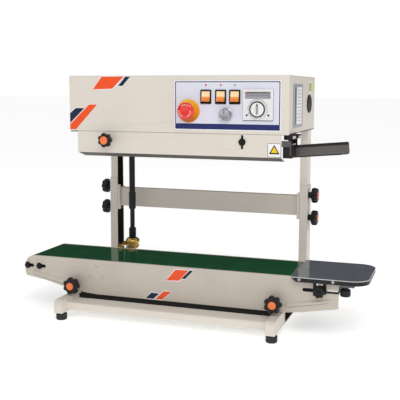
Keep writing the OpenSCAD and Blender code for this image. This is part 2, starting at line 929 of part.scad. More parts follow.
module control_panel() {
  machine(white) plate_y(-panel_t, panel_t) difference() {
    translate([panel_x0, panel_z0]) round_rect(panel_x1 - panel_x0, panel_z1 - panel_z0, 2);
    control_cuts();
  }
}

module vent_cap() {
  machine(black) difference() {
    union() {
      rod_x(head_x, vent_y, vent_z, 4, vent_r);
      rod_x(head_x - 6, vent_y, vent_z, 7, 18.8);
    }
    for (z = [-12 : 6 : 12]) translate([head_x - 7, vent_y - 13, vent_z + z - 1.2]) cube([far, 26, 2.4]);
  }
}

inlet_flange = [50, 54];
inlet_body = [25.6, 19.6];
inlet_well = [23, 16];
inlet_depth = 30;

module power_inlet() {
  machine(black) difference() {
    union() {
      translate([inlet_x - inlet_flange[0] / 2, head_d - sheet, inlet_z - inlet_flange[1] / 2])
        cube([inlet_flange[0], flange_out + sheet, inlet_flange[1]]);
      translate([inlet_x - inlet_body[0] / 2, head_d - inlet_depth, inlet_z - inlet_body[1] / 2])
        cube([inlet_body[0], inlet_depth, inlet_body[1]]);
    }
    translate([inlet_x - inlet_well[0] / 2, head_d - 16, inlet_z - inlet_well[1] / 2])
      cube([inlet_well[0], 20, inlet_well[1]]);
  }
}

// ---- Controls ----

stem_r = 9;
ring_r = 28;
collar_out = 9;
switch_w = 30;           // contact block behind the front face
switch_z0 = -48;
switch_h = 34.5;

// Ring and collar on the face, with the contact block behind it
module estop_base() {
  machine(yellow) translate([estop_x, -panel_t, estop_z]) rotate([90, 0, 0]) difference() {
    union() {
      cylinder(h = 2, r = ring_r);
      cylinder(h = collar_out, r = 16);
      translate([0, 0, -14]) cylinder(h = 15, r = 11);
      translate([-switch_w / 2, -switch_w / 2, switch_z0]) cube([switch_w, switch_w, switch_h]);
    }
    translate([0, 0, -12]) cylinder(h = 40, r = stem_r + run_gap);
  }
}

// Mushroom head on its stem, pressed along +Y
module estop_button() {
  r = mushroom_d / 2;
  machine(red) translate([estop_x, -panel_t - 15, estop_z]) rotate([90, 0, 0]) {
    translate([0, 0, -18]) cylinder(h = 19, r = stem_r);
    rotate_extrude() polygon([
      [0, 0], [r - 5, 0], [r - 1, 2], [r, 5], [r, 8], [r - 1.5, 11], [r - 4, 13],
      [r - 6, 13.4], [0, 12.6]
    ]);
  }
}

bezel_y = -panel_t - 2.4;

module switch_bezels() {
  machine(black) for (x = rocker_xs) difference() {
    union() {
      plate_y(bezel_y, 2.4)
        translate([x - bezel_w / 2, rocker_z - bezel_h / 2]) round_rect(bezel_w, bezel_h, 2);
      translate([x - 11.2, -panel_t, rocker_z - 14.9]) cube([22.4, 24, 29.8]);
    }
    translate([x - rocker_w / 2 - 0.4, bezel_y - 1, rocker_z - 14.1]) cube([rocker_w + 0.8, 18, 28.2]);
  }
}

rocker_pivot_y = 2;
rocker_tilt = 9;

// Rocker with a shallow roof, resting on its lower half
module rocker(x) {
  machine(amber) translate([x, rocker_pivot_y, rocker_z]) {
    rotate([-rocker_tilt, 0, 0]) plate_x(-rocker_w / 2, rocker_w) polygon([
      [5, -8], [-5.5, -12.6], [-7, -12.2], [-5.6, 0], [-7, 12.2], [-5.5, 12.6], [5, 8]
    ]);
    rod_x(-rocker_w / 2 - 0.3, 0, 0, rocker_w + 0.6, 1.6);
  }
}

module rocker_left() { rocker(rocker_xs[0]); }
module rocker_middle() { rocker(rocker_xs[1]); }
module rocker_right() { rocker(rocker_xs[2]); }

module speed_knob() {
  machine(steel) translate([speed_x, -panel_t - 0.4, speed_z]) rotate([90, 0, 0]) {
    translate([0, 0, -14]) cylinder(h = 15, r = 3);
    cylinder(h = 3, r = 16);
    translate([0, 0, 3]) cylinder(h = 14, r1 = 14.4, r2 = 13);
    translate([-1, 4, 17]) cube([2, 8, 0.8]);
  }
}

module temp_controller() {
  machine(white) difference() {
    union() {
      plate_y(-7, 7 - panel_t)
        translate([meter_x0, meter_z0]) round_rect(meter_w, meter_w, 2);
      translate([meter_x0 + 2.6, -panel_t, meter_z0 + 2.6]) cube([meter_w - 5.2, 62, meter_w - 5.2]);
    }
    translate([meter_x0 + 5, -8, meter_z0 + 52]) cube([meter_w - 10, 3, 14]);
    rod_y(dial_x, -8, dial_z, 12, 4 + run_gap);
  }
}

module temp_dial() {
  machine(white) {
    rod_y(dial_x, -9.6, dial_z, 2.3, 18.6);
    rod_y(dial_x, -12, dial_z, 3, 15);
    rod_y(dial_x, -8, dial_z, 11, 4);
    translate([dial_x - 1, -12.8, dial_z + 3]) cube([2, 1, 11]);
  }
}

module pressure_knob() {
  machine(black) translate([pressure_x, -0.6, pressure_z]) rotate([90, 0, 0]) {
    star_knob(36, 16, 17);
    translate([0, 0, -13]) cylinder(h = 14, r = 3);
  }
}

// ---- Drive and sealing parts in the head ----

gearbox = [80, 90, 44];
gearbox_lift = 30;                       // gearbox above the base plate
gearbox_feet = [[-39, -42], [-39, 36], [33, 36], [33, 0]];
gearbox_foot_w = 6;
motor_r = 35;
motor_l = 96;
motor_lift = 52;
motor_cap_r = 30;
motor_cap_l = 10;
output_r = 5;

// Gearbox on four feet over the drive shaft, with the motor lying beside it
module gear_motor() {
  machine(graphite) {
    translate([shaft_x - gearbox[0] / 2, shaft_y - gearbox[1] / 2, deck_z + gearbox_lift]) cube(gearbox);
    rod_z(shaft_x, shaft_y, shaft_top + 0.3, deck_z + gearbox_lift + 0.3 - shaft_top, output_r);
    for (p = gearbox_feet) translate([shaft_x + p[0], shaft_y + p[1], deck_z])
      cube([gearbox_foot_w, gearbox_foot_w, gearbox_lift]);
    rod_x(shaft_x + gearbox[0] / 2, shaft_y, deck_z + motor_lift, motor_l, motor_r);
    rod_x(shaft_x + gearbox[0] / 2 + motor_l, shaft_y, deck_z + motor_lift, motor_cap_l, motor_cap_r);
  }
}

// Sprocket loop from the drive shaft to the left rear wheel
module chain_outline(grow) {
  hull() {
    translate([shaft_x, shaft_y]) circle(r = sprocket_small + grow, $fn = 48);
    translate([wheel_left_x, wheel_ys[1]]) circle(r = sprocket_big + grow, $fn = 48);
  }
}

chain_gap = 0.3;
chain_t = 3;

module drive_chain() {
  machine(steel) translate([0, 0, chain_z]) linear_extrude(chain_h) difference() {
    chain_outline(chain_gap + chain_t);
    chain_outline(chain_gap);
  }
}

module upper_shaft() {
  machine(black) {
    difference() {
      rod_z(shaft_x, shaft_y, collar_z0 + 1, shaft_top - collar_z0 - 1, tube_r);
      rod_z(shaft_x, shaft_y, collar_z0, tube_bore_top - collar_z0, rod_r + run_gap);
    }
    difference() {
      rod_z(shaft_x, shaft_y, collar_z0, collar_z1 - collar_z0, collar_r);
      rod_z(shaft_x, shaft_y, collar_z0 - 1, collar_z1, tube_r - 1);
      rod_z(shaft_x, shaft_y, collar_z0 - 1, collar_z1, rod_r + run_gap);
    }
    rod_z(shaft_x, shaft_y, chain_z, chain_h, sprocket_small);
  }
}

wheel_h = 17;
wheel_dish = 6;          // depth of the dished lower face
wheel_rim = 4;
wheel_hub_r = 9;
gear_h = 8;
gear_top = 500;
axle_top = 474;
thrust_h = 3;
thrust_r = 8;
tooth_tip = 1.8;
tooth_root = 2.5;

// Band wheel with its axle, and its gear or sprocket where it has one
module band_wheel(x, y, driven, first, chained) {
  translate([x, y, 0]) {
    difference() {
      translate([0, 0, wheel_z]) cylinder(h = wheel_h, r = wheel_r);
      translate([0, 0, wheel_z - 1]) difference() {
        cylinder(h = wheel_dish + 1, r = wheel_r - wheel_rim);
        cylinder(h = wheel_dish + 1, r = wheel_hub_r);
      }
    }
    translate([0, 0, wheel_z]) cylinder(h = (driven ? gear_top : axle_top) - wheel_z, r = axle_r);
    translate([0, 0, deck_z + slide_gap]) cylinder(h = thrust_h, r = thrust_r);
    if (driven) translate([0, 0, gear_z]) linear_extrude(gear_h)
      gear_2d(gear_teeth, wheel_off + tooth_tip, wheel_off - tooth_root, first);
    if (chained) translate([0, 0, chain_z]) cylinder(h = chain_h, r = sprocket_big);
  }
}

module band_wheel_left_front() { machine(steel) band_wheel(wheel_left_x, wheel_ys[0], true, 90, false); }
module band_wheel_left_rear() { machine(steel) band_wheel(wheel_left_x, wheel_ys[1], true, 99, true); }
module band_wheel_right_front() { machine(steel) band_wheel(wheel_right_x, wheel_ys[0], false, 0, false); }
module band_wheel_right_rear() { machine(steel) band_wheel(wheel_right_x, wheel_ys[1], false, 0, false); }

module band_loop(y) {
  module loop(r) {
    for (x = [wheel_left_x, wheel_right_x]) translate([x, y]) circle(r);
    translate([wheel_left_x, y - r]) square([wheel_right_x - wheel_left_x, 2 * r]);
  }
  difference() {
    loop(wheel_r + band_gap + band_t);
    loop(wheel_r + band_gap);
  }
}

module seal_bands() {
  machine(brass) translate([0, 0, band_z]) linear_extrude(band_w)
    for (y = wheel_ys) band_loop(y);
}

heat_x = 46;
heat_l = 74;
cool_x = -66;
cool_l = 74;
jaw_d = 17;
jaw_z = 424;
jaw_h = 18;
jaw_back = 1.7;          // jaw face to the bag line
hanger_r = 3;
hanger_in = 12;
heater_r = 3.2;
fin_slots = 9;
fin_pitch = 8;
fin_slot_w = 3;

// Pair of jaws inside the two band loops, hung from the base plate
module jaw_pair(x, len) {
  for (side = [-1, 1]) {
    y0 = nip_y + side * (jaw_back + jaw_d / 2) - jaw_d / 2;
    difference() {
      translate([x, y0, jaw_z]) cube([len, jaw_d, jaw_h]);
      children();
    }
    for (dx = [hanger_in, len - hanger_in])
      rod_z(x + dx, y0 + jaw_d / 2, jaw_z + jaw_h, head_z - jaw_z - jaw_h, hanger_r);
  }
}

module heating_blocks() {
  machine(brass) jaw_pair(heat_x, heat_l)
    for (side = [-1, 1])
      rod_x(heat_x - 1, nip_y + side * 12, jaw_z + jaw_h / 2, heat_l + 2, heater_r);
}

module cooling_blocks() {
  machine(steel) jaw_pair(cool_x, cool_l)
    for (i = [0 : fin_slots - 1], side = [-1, 1])
      translate([cool_x + 4 + i * fin_pitch, nip_y + side * 14.6 - 6, jaw_z + 4])
        cube([fin_slot_w, 12, jaw_h]);
}

module press_roller(y) {
  machine(graphite) translate([press_x, y, 0]) {
    translate([0, 0, press_z]) cylinder(h = press_h, r = press_r);
    translate([0, 0, press_z]) cylinder(h = axle_top + 2 - press_z, r = axle_r);
    translate([0, 0, deck_z + slide_gap]) cylinder(h = thrust_h, r = thrust_r);
  }
}

module press_roller_front() { press_roller(press_ys[0]); }
module press_roller_rear() { press_roller(press_ys[1]); }

board_x = 18;
board_y = 94;
board_size = [124, 92, 1.6];
board_lift = 8;
standoff_in = 6;
relay = [12, 20, 16];
relay_pitch = 15;
transformer = [42, 36, 34];
capacitor_r = 7;
capacitor_h = 24;
capacitor_pitch = 17;

// Board on its standoffs with a transformer, three capacitors and four relays
module control_board() {
  parts_z = deck_z + board_lift + board_size[2];
  machine([0.05, 0.35, 0.15]) {
    for (x = [standoff_in, board_size[0] - standoff_in], y = [standoff_in, board_size[1] - standoff_in])
      rod_z(board_x + x, board_y + y, deck_z, board_lift, 3);
    translate([board_x, board_y, deck_z + board_lift]) cube(board_size);
    translate([board_x + 8, board_y + 26, parts_z]) cube(transformer);
    for (i = [0 : 2])
      rod_z(board_x + 66 + i * capacitor_pitch, board_y + 18, parts_z, capacitor_h, capacitor_r);
    for (i = [0 : 3]) translate([board_x + 60 + i * relay_pitch, board_y + 56, parts_z]) cube(relay);
  }
}

cover_screws = [-230, 0, 235];
lip_screws = [[250, 96], [268, 96]];
column_screws = [[-247, 242], [-247, 264], [247, 242], [247, 264]];
lip_screw_r = 5;

// Screw heads under the head: in the cover's flange, the plate and the columns' flanges
module head_screws() {
  machine(steel) {
    for (x = cover_screws) translate([x, 10, head_z - sheet - 2.2]) cylinder(h = 2.2, r = 4);
    for (p = lip_screws) rod_z(p[0], p[1], head_z - 6, 6, lip_screw_r);
    for (p = column_screws) rod_z(p[0], p[1], head_z - plate_t - 4, 4, lip_screw_r);
  }
}

// ---- Bag guide ----

chute_x0 = 283;
chute_x1 = 411;
chute_z = 408;
chute_h = 28;
chute_rise = 5;
chute_gap = 9;
chute_t = 1.5;
strip_y = 2;
strip_t = 2.4;
chute_reach = nip_y - chute_gap / 2 - strip_y;
guide_stud_r = 2.5;

// Inverted channel whose right end rises, on a strip behind the cover
module guide_chute() {
  machine(graphite) {
    translate([chute_x0, 0, chute_z]) rotate([0, -chute_rise, 0]) difference() {
      translate([0, nip_y - chute_gap / 2 - chute_t, 0])
        cube([chute_x1 - chute_x0, chute_gap + 2 * chute_t, chute_h]);
      translate([-1, nip_y - chute_gap / 2, -1])
        cube([chute_x1 - chute_x0 + 2, chute_gap, chute_h - chute_t + 1]);
      translate([chute_x1 - chute_x0, 0, 0]) rotate([0, -40, 0])
        translate([-6, 0, -20]) cube([30, 100, 22]);
    }
    translate([guide_x - 8, strip_y, guide_z - 9]) cube([chute_x0 + 10 - guide_x, strip_t, 14]);
    translate([chute_x0, strip_y, guide_z - 9]) cube([strip_t, chute_reach, 6]);
    translate([chute_x0, strip_y, chute_z + 8]) cube([strip_t, chute_reach, 26]);
    rod_y(guide_x, -0.4, guide_z, 4, guide_stud_r);
    rod_y(guide_x, -1.8, guide_z, 1.5, 8.5);
    rod_y(guide_x, -5, guide_z, 3.4, 5);
  }
}

// ---- Nodes ----

base_frame();
rubber_feet();
column_lower_left();
column_lower_right();
conveyor_front_plate();
conveyor_rear_plate();
conveyor_deck();
conveyor_belt();
drive_bearings();
gear_bracket();
drive_roller();
lower_shaft();
bevel_pinion();
idler_left();
idler_right();
tension_blocks();
feed_plate();
feed_knob_front();
feed_knob_lower();
conveyor_knob_left();
conveyor_knob_right();
column_upper_left();
column_upper_right();
crossbar();
head_casing();
back_panel();
base_plate();
front_cover();
control_panel();
vent_cap();
power_inlet();
estop_base();
switch_bezels();
temp_controller();
gear_motor();
drive_chain();
control_board();
heating_blocks();
cooling_blocks();
seal_bands();
head_screws();
estop_button();
rocker_left();
rocker_middle();
rocker_right();
speed_knob();
temp_dial();
pressure_knob();
column_knob_left_upper();
column_knob_left_lower();
column_knob_right_upper();
column_knob_right_lower();
band_wheel_left_front();
band_wheel_left_rear();
band_wheel_right_front();
band_wheel_right_rear();
press_roller_front();
press_roller_rear();
upper_shaft();
guide_chute();
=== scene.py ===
"""Continuous band sealer: the finish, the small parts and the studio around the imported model.

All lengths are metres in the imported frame. at(x, y, z) takes millimetres from the middle of the head's
front face, with z counted from the floor.
"""

import json
import math

import bmesh
import bpy
from mathutils import Matrix, Vector


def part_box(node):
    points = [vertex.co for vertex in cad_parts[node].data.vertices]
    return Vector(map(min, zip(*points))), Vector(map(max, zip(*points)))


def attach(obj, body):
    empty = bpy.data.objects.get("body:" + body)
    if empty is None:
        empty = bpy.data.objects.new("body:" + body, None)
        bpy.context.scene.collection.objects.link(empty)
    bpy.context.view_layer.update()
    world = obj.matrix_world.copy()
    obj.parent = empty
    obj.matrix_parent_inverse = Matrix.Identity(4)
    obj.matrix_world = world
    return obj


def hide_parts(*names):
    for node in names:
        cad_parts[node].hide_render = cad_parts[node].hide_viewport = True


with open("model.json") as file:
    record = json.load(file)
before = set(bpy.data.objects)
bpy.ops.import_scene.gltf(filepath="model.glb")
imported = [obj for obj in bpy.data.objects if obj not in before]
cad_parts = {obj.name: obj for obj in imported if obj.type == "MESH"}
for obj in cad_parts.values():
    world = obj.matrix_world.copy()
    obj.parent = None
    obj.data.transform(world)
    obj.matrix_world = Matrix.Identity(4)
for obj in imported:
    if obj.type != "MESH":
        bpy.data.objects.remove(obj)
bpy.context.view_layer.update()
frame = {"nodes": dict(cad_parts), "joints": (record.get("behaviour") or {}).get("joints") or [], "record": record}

MM = 0.001
HEAD_LOW, HEAD_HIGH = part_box("head_casing")
HEAD_MID_X = (HEAD_LOW[0] + HEAD_HIGH[0]) / 2
HEAD_FRONT_Y = HEAD_LOW[1]
JOINTS = {joint["child"]: joint for joint in frame["joints"]}
SIDES = (("left", -1), ("right", 1))
SWITCHES = ("left", "middle", "right")


def at(x, y, z):
    """A point given in millimetres from the middle of the head's front face and from the floor."""
    return Vector((HEAD_MID_X + x * MM, HEAD_FRONT_Y + y * MM, z * MM))


def corners_of(node):
    """A node's lowest and highest corner, and the middle between them."""
    low, high = (Vector(corner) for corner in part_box(node))
    return low, high, (low + high) / 2


def polar(radius, degrees):
    """The point at an angle on a circle round the origin."""
    return radius * math.cos(math.radians(degrees)), radius * math.sin(math.radians(degrees))


# ---- Materials ----

def blank_material(name):
    material = bpy.data.materials.new(name)
    material.use_nodes = True
    nodes = material.node_tree.nodes
    return material, nodes, material.node_tree.links, nodes["Principled BSDF"]


def surface_point(nodes, links, stretch=(1, 1, 1)):
    """The point on the object, in metres, that every pattern is laid out in."""
    coordinate = nodes.new("ShaderNodeTexCoord")
    mapping = nodes.new("ShaderNodeMapping")
    mapping.inputs["Scale"].default_value = stretch
    links.new(coordinate.outputs["Object"], mapping.inputs["Vector"])
    return mapping.outputs["Vector"]


def noise(nodes, links, point, scale, detail=2.0):
    node = nodes.new("ShaderNodeTexNoise")
    node.inputs["Scale"].default_value = scale
    node.inputs["Detail"].default_value = detail
    links.new(point, node.inputs["Vector"])
    return node.outputs["Fac"]


NOISE_LOW, NOISE_HIGH = 0.3, 0.7  # most values of a noise texture


def between(nodes, links, factor, low, high):
    """Spreads a noise factor over a range of one number."""
    node = nodes.new("ShaderNodeMapRange")
    node.inputs["From Min"].default_value = NOISE_LOW
    node.inputs["From Max"].default_value = NOISE_HIGH
    node.inputs["To Min"].default_value = low
    node.inputs["To Max"].default_value = high
    links.new(factor, node.inputs["Value"])
    return node.outputs["Result"]


def shades(nodes, links, factor, colour, spread):
    """A colour that wanders lighter and darker by the given share."""
    ramp = nodes.new("ShaderNodeValToRGB")
    dark, light = ramp.color_ramp.elements
    dark.position, light.position = NOISE_LOW, NOISE_HIGH
    dark.color = (*[c * (1 - spread) for c in colour], 1)
    light.color = (*[min(1, c * (1 + spread)) for c in colour], 1)
    links.new(factor, ramp.inputs["Fac"])
    return ramp.outputs["Color"]


RELIEF = 0.6  # strength of every finish's fine relief
GLOSS_SPREAD = 0.25  # share by which the gloss wanders
COAT_ROUGHNESS = 0.12


def finish(name, colour, roughness, grain_scale, grain_depth, metallic=0.0, spread=0.03, patch=14,
           stretch=(1, 1, 1), specular=0.5, coat=0.0, glow=0.0):
    """One procedural finish: patchy shade, patchy gloss and a fine relief."""
    material, nodes, links, shader = blank_material(name)
    plain_point = surface_point(nodes, links)
    grain_point = surface_point(nodes, links, stretch)
    patches = noise(nodes, links, plain_point, patch, 3)
    grain = noise(nodes, links, grain_point, grain_scale)
    links.new(shades(nodes, links, patches, colour, spread), shader.inputs["Base Color"])
    gloss = between(nodes, links, grain, roughness * (1 - GLOSS_SPREAD), roughness * (1 + GLOSS_SPREAD))
    links.new(gloss, shader.inputs["Roughness"])
    bump = nodes.new("ShaderNodeBump")
    bump.inputs["Strength"].default_value = RELIEF
    bump.inputs["Distance"].default_value = grain_depth
    links.new(grain, bump.inputs["Height"])
    links.new(bump.outputs["Normal"], shader.inputs["Normal"])
    shader.inputs["Metallic"].default_value = metallic
    shader.inputs["Specular IOR Level"].default_value = specular
    shader.inputs["Coat Weight"].default_value = coat
    shader.inputs["Coat Roughness"].default_value = COAT_ROUGHNESS
    if glow:
        shader.inputs["Emission Color"].default_value = (*colour, 1)
        shader.inputs["Emission Strength"].default_value = glow
    return material


PAINT_GRAIN = 900  # orange-peel bumps of powder coat, per metre
PAINT_RELIEF = 0.00006
BEIGE = (0.70, 0.645, 0.572)
BEIGE_SHADED = (0.54, 0.482, 0.418)  # painted shade: the beige darkened on the conveyor, where less light falls
MATERIALS = {
    "beige_paint": finish("beige_powder_coat", BEIGE, 0.42, PAINT_GRAIN, PAINT_RELIEF, spread=0.02),
    # The conveyor's finish is the beige with painted shade in it
    "conveyor_paint": finish("conveyor_shaded_powder_coat", BEIGE_SHADED, 0.42, PAINT_GRAIN, PAINT_RELIEF, spread=0.03),
    "rubber": finish("foot_rubber", (0.016, 0.016, 0.017), 0.7, 1600, 0.00008, spread=0.2),
    "green_belt": finish("green_belt_cover", (0.0125, 0.092, 0.036), 0.1, 260, 0.00002, spread=0.12,
                         stretch=(0.2, 1, 1), specular=0.2),
    "bright_steel": finish("turned_steel", (0.62, 0.62, 0.63), 0.24, 700, 0.00002, metallic=1,
                           stretch=(1, 6, 1)),
    "black_steel": finish("blackened_steel", (0.010, 0.010, 0.012), 0.3, 600, 0.00002, metallic=0.6,
                          spread=0.15, stretch=(5, 5, 1)),
    "brass": finish("turned_brass", (0.62, 0.42, 0.12), 0.26, 800, 0.00002, metallic=1, spread=0.08),
    "slate_paint": finish("slate_gloss_paint", (0.145, 0.157, 0.19), 0.1, 500, 0.00002, spread=0.1,
                          specular=0.4),
    "guide_paint": finish("guide_satin_paint", (0.085, 0.076, 0.073), 0.2, 700, 0.00004, spread=0.1),
    "black_plastic": finish("black_moulded_plastic", (0.007, 0.007, 0.008), 0.34, 1400, 0.00005,
                            spread=0.2, specular=0.3),
    "panel_print": finish("printed_panel_film", (0.69, 0.69, 0.79), 0.3, 1200, 0.00002, spread=0.02),
    "estop_yellow": finish("yellow_stop_ring", (0.85, 0.42, 0.02), 0.3, 900, 0.00003, spread=0.05),
    "estop_red": finish("red_stop_button", (0.72, 0.02, 0.012), 0.16, 500, 0.00002, spread=0.06,
                        coat=0.5),
    "rocker_amber": finish("amber_rocker_lens", (0.95, 0.36, 0.06), 0.16, 300, 0.00003, spread=0.08,
                           coat=0.3, glow=0.04),
    "knob_silver": finish("silver_knob", (0.46, 0.46, 0.49), 0.22, 1500, 0.00002, metallic=1.0),
    "meter_white": finish("white_meter_plastic", (0.78, 0.77, 0.77), 0.3, 1300, 0.00003, spread=0.02),
    "motor_paint": finish("motor_paint", (0.03, 0.032, 0.038), 0.4, 700, 0.00005, spread=0.15),
    "board_green": finish("board_lacquer", (0.012, 0.09, 0.03), 0.3, 900, 0.00003, spread=0.2),
    "fin_aluminium": finish("extruded_aluminium", (0.66, 0.67, 0.69), 0.34, 700, 0.00003, metallic=1,
                            stretch=(1, 1, 8)),
    "band_cloth": finish("coated_glass_cloth", (0.34, 0.22, 0.09), 0.45, 2400, 0.00006, spread=0.12),
}

# Inks, labels, dark parts and painted shade: colour and roughness
PRINTS = {
    "orange_print": ((0.84, 0.085, 0.014), 0.35),
    "navy_print": ((0.006, 0.016, 0.045), 0.35),
    "panel_navy": ((0.014, 0.022, 0.125), 0.35),
    "tick_print": ((0.36, 0.37, 0.48), 0.35),
    "white_print": ((0.84, 0.84, 0.84), 0.35),
    "soft_white_print": ((0.80, 0.42, 0.36), 0.4),
    "black_print": ((0.012, 0.012, 0.014), 0.4),
    "soft_grey_print": ((0.30, 0.30, 0.33), 0.4),
    "graphite_print": ((0.07, 0.07, 0.085), 0.35),
    "red_dot": ((0.70, 0.03, 0.03), 0.3),
    "green_dot": ((0.15, 0.42, 0.10), 0.35),
    "warning_yellow": ((0.85, 0.56, 0.01), 0.35),
    "window_tint": ((0.34, 0.35, 0.37), 0.12),
    "label_metal": ((0.36, 0.37, 0.42), 0.35),
    "orange_cap": ((0.86, 0.20, 0.055), 0.34),
    # near-black for sheets of painted shade, and for the black guide hanger
    "black_and_painted_shade": ((0.012, 0.011, 0.011), 0.6),
    "seam_shade": ((0.20, 0.175, 0.15), 0.5),
    "skirt_black": ((0.009, 0.008, 0.008), 0.35),
    "lip_shade": ((0.07, 0.06, 0.05), 0.5),
}
for print_name, (print_colour, print_gloss) in PRINTS.items():
    MATERIALS[print_name] = finish(print_name, print_colour, print_gloss, 1500, 0.00001, spread=0.04,
                                   patch=60, specular=0.3)
MATERIALS["zinc"] = finish("zinc_plate", (0.60, 0.59, 0.57), 0.3, 900, 0.00002, metallic=1, spread=0.08)
# A bright metallic strip along the feed plate's top edge
MATERIALS["bright_edge"] = finish("bright_metal_edge", (0.58, 0.58, 0.60), 0.3, 300, 0.00002, metallic=0.7,
                                  spread=0.15)

PAINTED_LIGHT_SHARE = 0.88  # how far the painted light covers the finish's own patches


def paint_light_by_height(name, low, high, stops):
    """Paints light and shade up a finish between two heights in millimetres, over its own patches."""
    nodes, links = MATERIALS[name].node_tree.nodes, MATERIALS[name].node_tree.links
    shader = nodes["Principled BSDF"]
    patches = shader.inputs["Base Color"].links[0].from_socket
    split = nodes.new("ShaderNodeSeparateXYZ")
    links.new(nodes.new("ShaderNodeTexCoord").outputs["Object"], split.inputs["Vector"])
    share = nodes.new("ShaderNodeMapRange")
    share.inputs["From Min"].default_value = low * MM
    share.inputs["From Max"].default_value = high * MM
    links.new(split.outputs["Z"], share.inputs["Value"])
    run = nodes.new("ShaderNodeValToRGB")
    for i, (position, colour) in enumerate(stops):
        stop = run.color_ramp.elements[i] if i < 2 else run.color_ramp.elements.new(position)
        stop.position = position
        stop.color = (*colour, 1)
    links.new(share.outputs["Result"], run.inputs["Fac"])
    mix = nodes.new("ShaderNodeMix")
    mix.data_type = "RGBA"
    mix.inputs["Factor"].default_value = PAINTED_LIGHT_SHARE
    links.new(patches, mix.inputs["A"])
    links.new(run.outputs["Color"], mix.inputs["B"])
    links.new(mix.outputs["Result"], shader.inputs["Base Color"])


# Painted light on the rocker lenses: deeper amber towards the bottom as painted shade, and a pale painted
# highlight over the upper half
paint_light_by_height("rocker_amber", 537, 561, (
    (0.0, (0.50, 0.11, 0.008)),
    (0.48, (0.90, 0.27, 0.03)),
    (0.56, (0.95, 0.78, 0.52)),
    (1.0, (0.95, 0.70, 0.38)),
))
# Painted light on the stop ring: yellow at the top, turning orange and darker towards the bottom as painted shade
paint_light_by_height("estop_yellow", 489, 543, (
    (0.0, (0.45, 0.10, 0.006)),
    (0.55, (0.84, 0.32, 0.012)),
    (1.0, (0.90, 0.62, 0.07)),
))

EDGE = 0.0004  # rounding of pressed and moulded edges
SAME_POINT = 0.000002
SHARP_ABOVE = math.radians(40)


def soften(node):
    """Rounds a CAD node's sharp edges as a press or a mould leaves them."""
    obj = frame["nodes"][node]
    weld = obj.modifiers.new("weld", "WELD")
    weld.merge_threshold = SAME_POINT
    edge = obj.modifiers.new("edge", "BEVEL")
    edge.width = EDGE
    edge.segments = 2
    edge.limit_method = "ANGLE"
    edge.angle_limit = SHARP_ABOVE
    edge.use_clamp_overlap = True
    normal = obj.modifiers.new("normal", "WEIGHTED_NORMAL")
    normal.keep_sharp = False


for subpart in frame["record"]["subparts"]:
    cad = frame["nodes"][subpart["node"]]
    cad.data.materials.clear()
    cad.data.materials.append(MATERIALS[subpart["material_slot"]])
    soften(subpart["node"])
# The crossbar is painted with the columns
frame["nodes"]["crossbar"].data.materials[0] = MATERIALS["beige_paint"]


# ---- Making meshes ----

FRONT, BACK, RIGHT = (0, -1, 0), (0, 1, 0), (1, 0, 0)
UP, DOWN = (0, 0, 1), (0, 0, -1)
SMOOTH_BELOW = math.radians(36)


def facing(place, axis):
    """A frame at place whose Z runs along axis, with Y up on the upright sides of the object."""
    z = Vector(axis).normalized()
    y = Vector((0, 1, 0)) if abs(z.z) > 0.9 else Vector((0, 0, 1))
    x = y.cross(z).normalized()
    y = z.cross(x)
    turn = Matrix((x, y, z)).transposed().to_4x4()
    return Matrix.Translation(Vector(place)) @ turn


def piece(name, bm, material, body, replaces=(), bevel=0.0):
    """A finished mesh that rides on a body; the bevel is in millimetres."""
    bmesh.ops.remove_doubles(bm, verts=bm.verts, dist=0.000001)
    bmesh.ops.recalc_face_normals(bm, faces=bm.faces)
    mesh = bpy.data.meshes.new(name)
    bm.to_mesh(mesh)
    bm.free()
    mesh.materials.append(MATERIALS[material])
    mesh.shade_smooth()
    mesh.set_sharp_from_angle(angle=SMOOTH_BELOW)
    obj = bpy.data.objects.new(name, mesh)
    bpy.context.scene.collection.objects.link(obj)
    if bevel:
        edge = obj.modifiers.new("edge", "BEVEL")
        edge.width = bevel * MM
        edge.segments = 3
        edge.limit_method = "ANGLE"
        edge.angle_limit = SMOOTH_BELOW
        edge.harden_normals = True
    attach(obj, body)
    if replaces:
        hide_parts(*replaces)
    return obj


def join(*parts):
    """One bmesh out of several."""
    whole = bmesh.new()
    for part in parts:
        mesh = bpy.data.meshes.new("part")
        part.to_mesh(mesh)
        part.free()
        whole.from_mesh(mesh)
        bpy.data.meshes.remove(mesh)
    return whole


def fillet(points, radius, steps=4):
    """Rounds the inner corners of an open line."""
    line = [Vector(p) for p in points]
    smooth = [line[0]]
    for before, corner, after in zip(line, line[1:], line[2:]):
        cut = min(radius, (before - corner).length * 0.45, (after - corner).length * 0.45)
        start = corner + (before - corner).normalized() * cut
        end = corner + (after - corner).normalized() * cut
        for step in range(steps + 1):
            t = step / steps
            smooth.append(start * (1 - t) ** 2 + corner * 2 * t * (1 - t) + end * t * t)
    return smooth + [line[-1]]


def round_polygon(points, radius, steps=5):
    """Rounds every corner of a closed outline."""
    line = fillet([points[-1], *points, points[0]], radius, steps)
    return line[1:-1]


def rectangle(w, h, radius=0.0, cx=0.0, cy=0.0):
    corners = [(cx + sx * w / 2, cy + sy * h / 2) for sx, sy in ((-1, -1), (1, -1), (1, 1), (-1, 1))]
    return round_polygon(corners, radius) if radius else [Vector(c) for c in corners]


def loft(rings, place, closed=False):
    """Skins rings of equal length, given in millimetres; open ends are capped."""
    bm = bmesh.new()
    rows = [[bm.verts.new(place @ (Vector(p) * MM)) for p in ring] for ring in rings]
    pairs = list(zip(rows, rows[1:]))
    if closed:
        pairs.append((rows[-1], rows[0]))
    for low, high in pairs:
        for i, corner in enumerate(low):
            j = (i + 1) % len(low)
            bm.faces.new((corner, low[j], high[j], high[i]))
    if not closed:
        bm.faces.new(rows[0][::-1])
        bm.faces.new(rows[-1])
    return bm


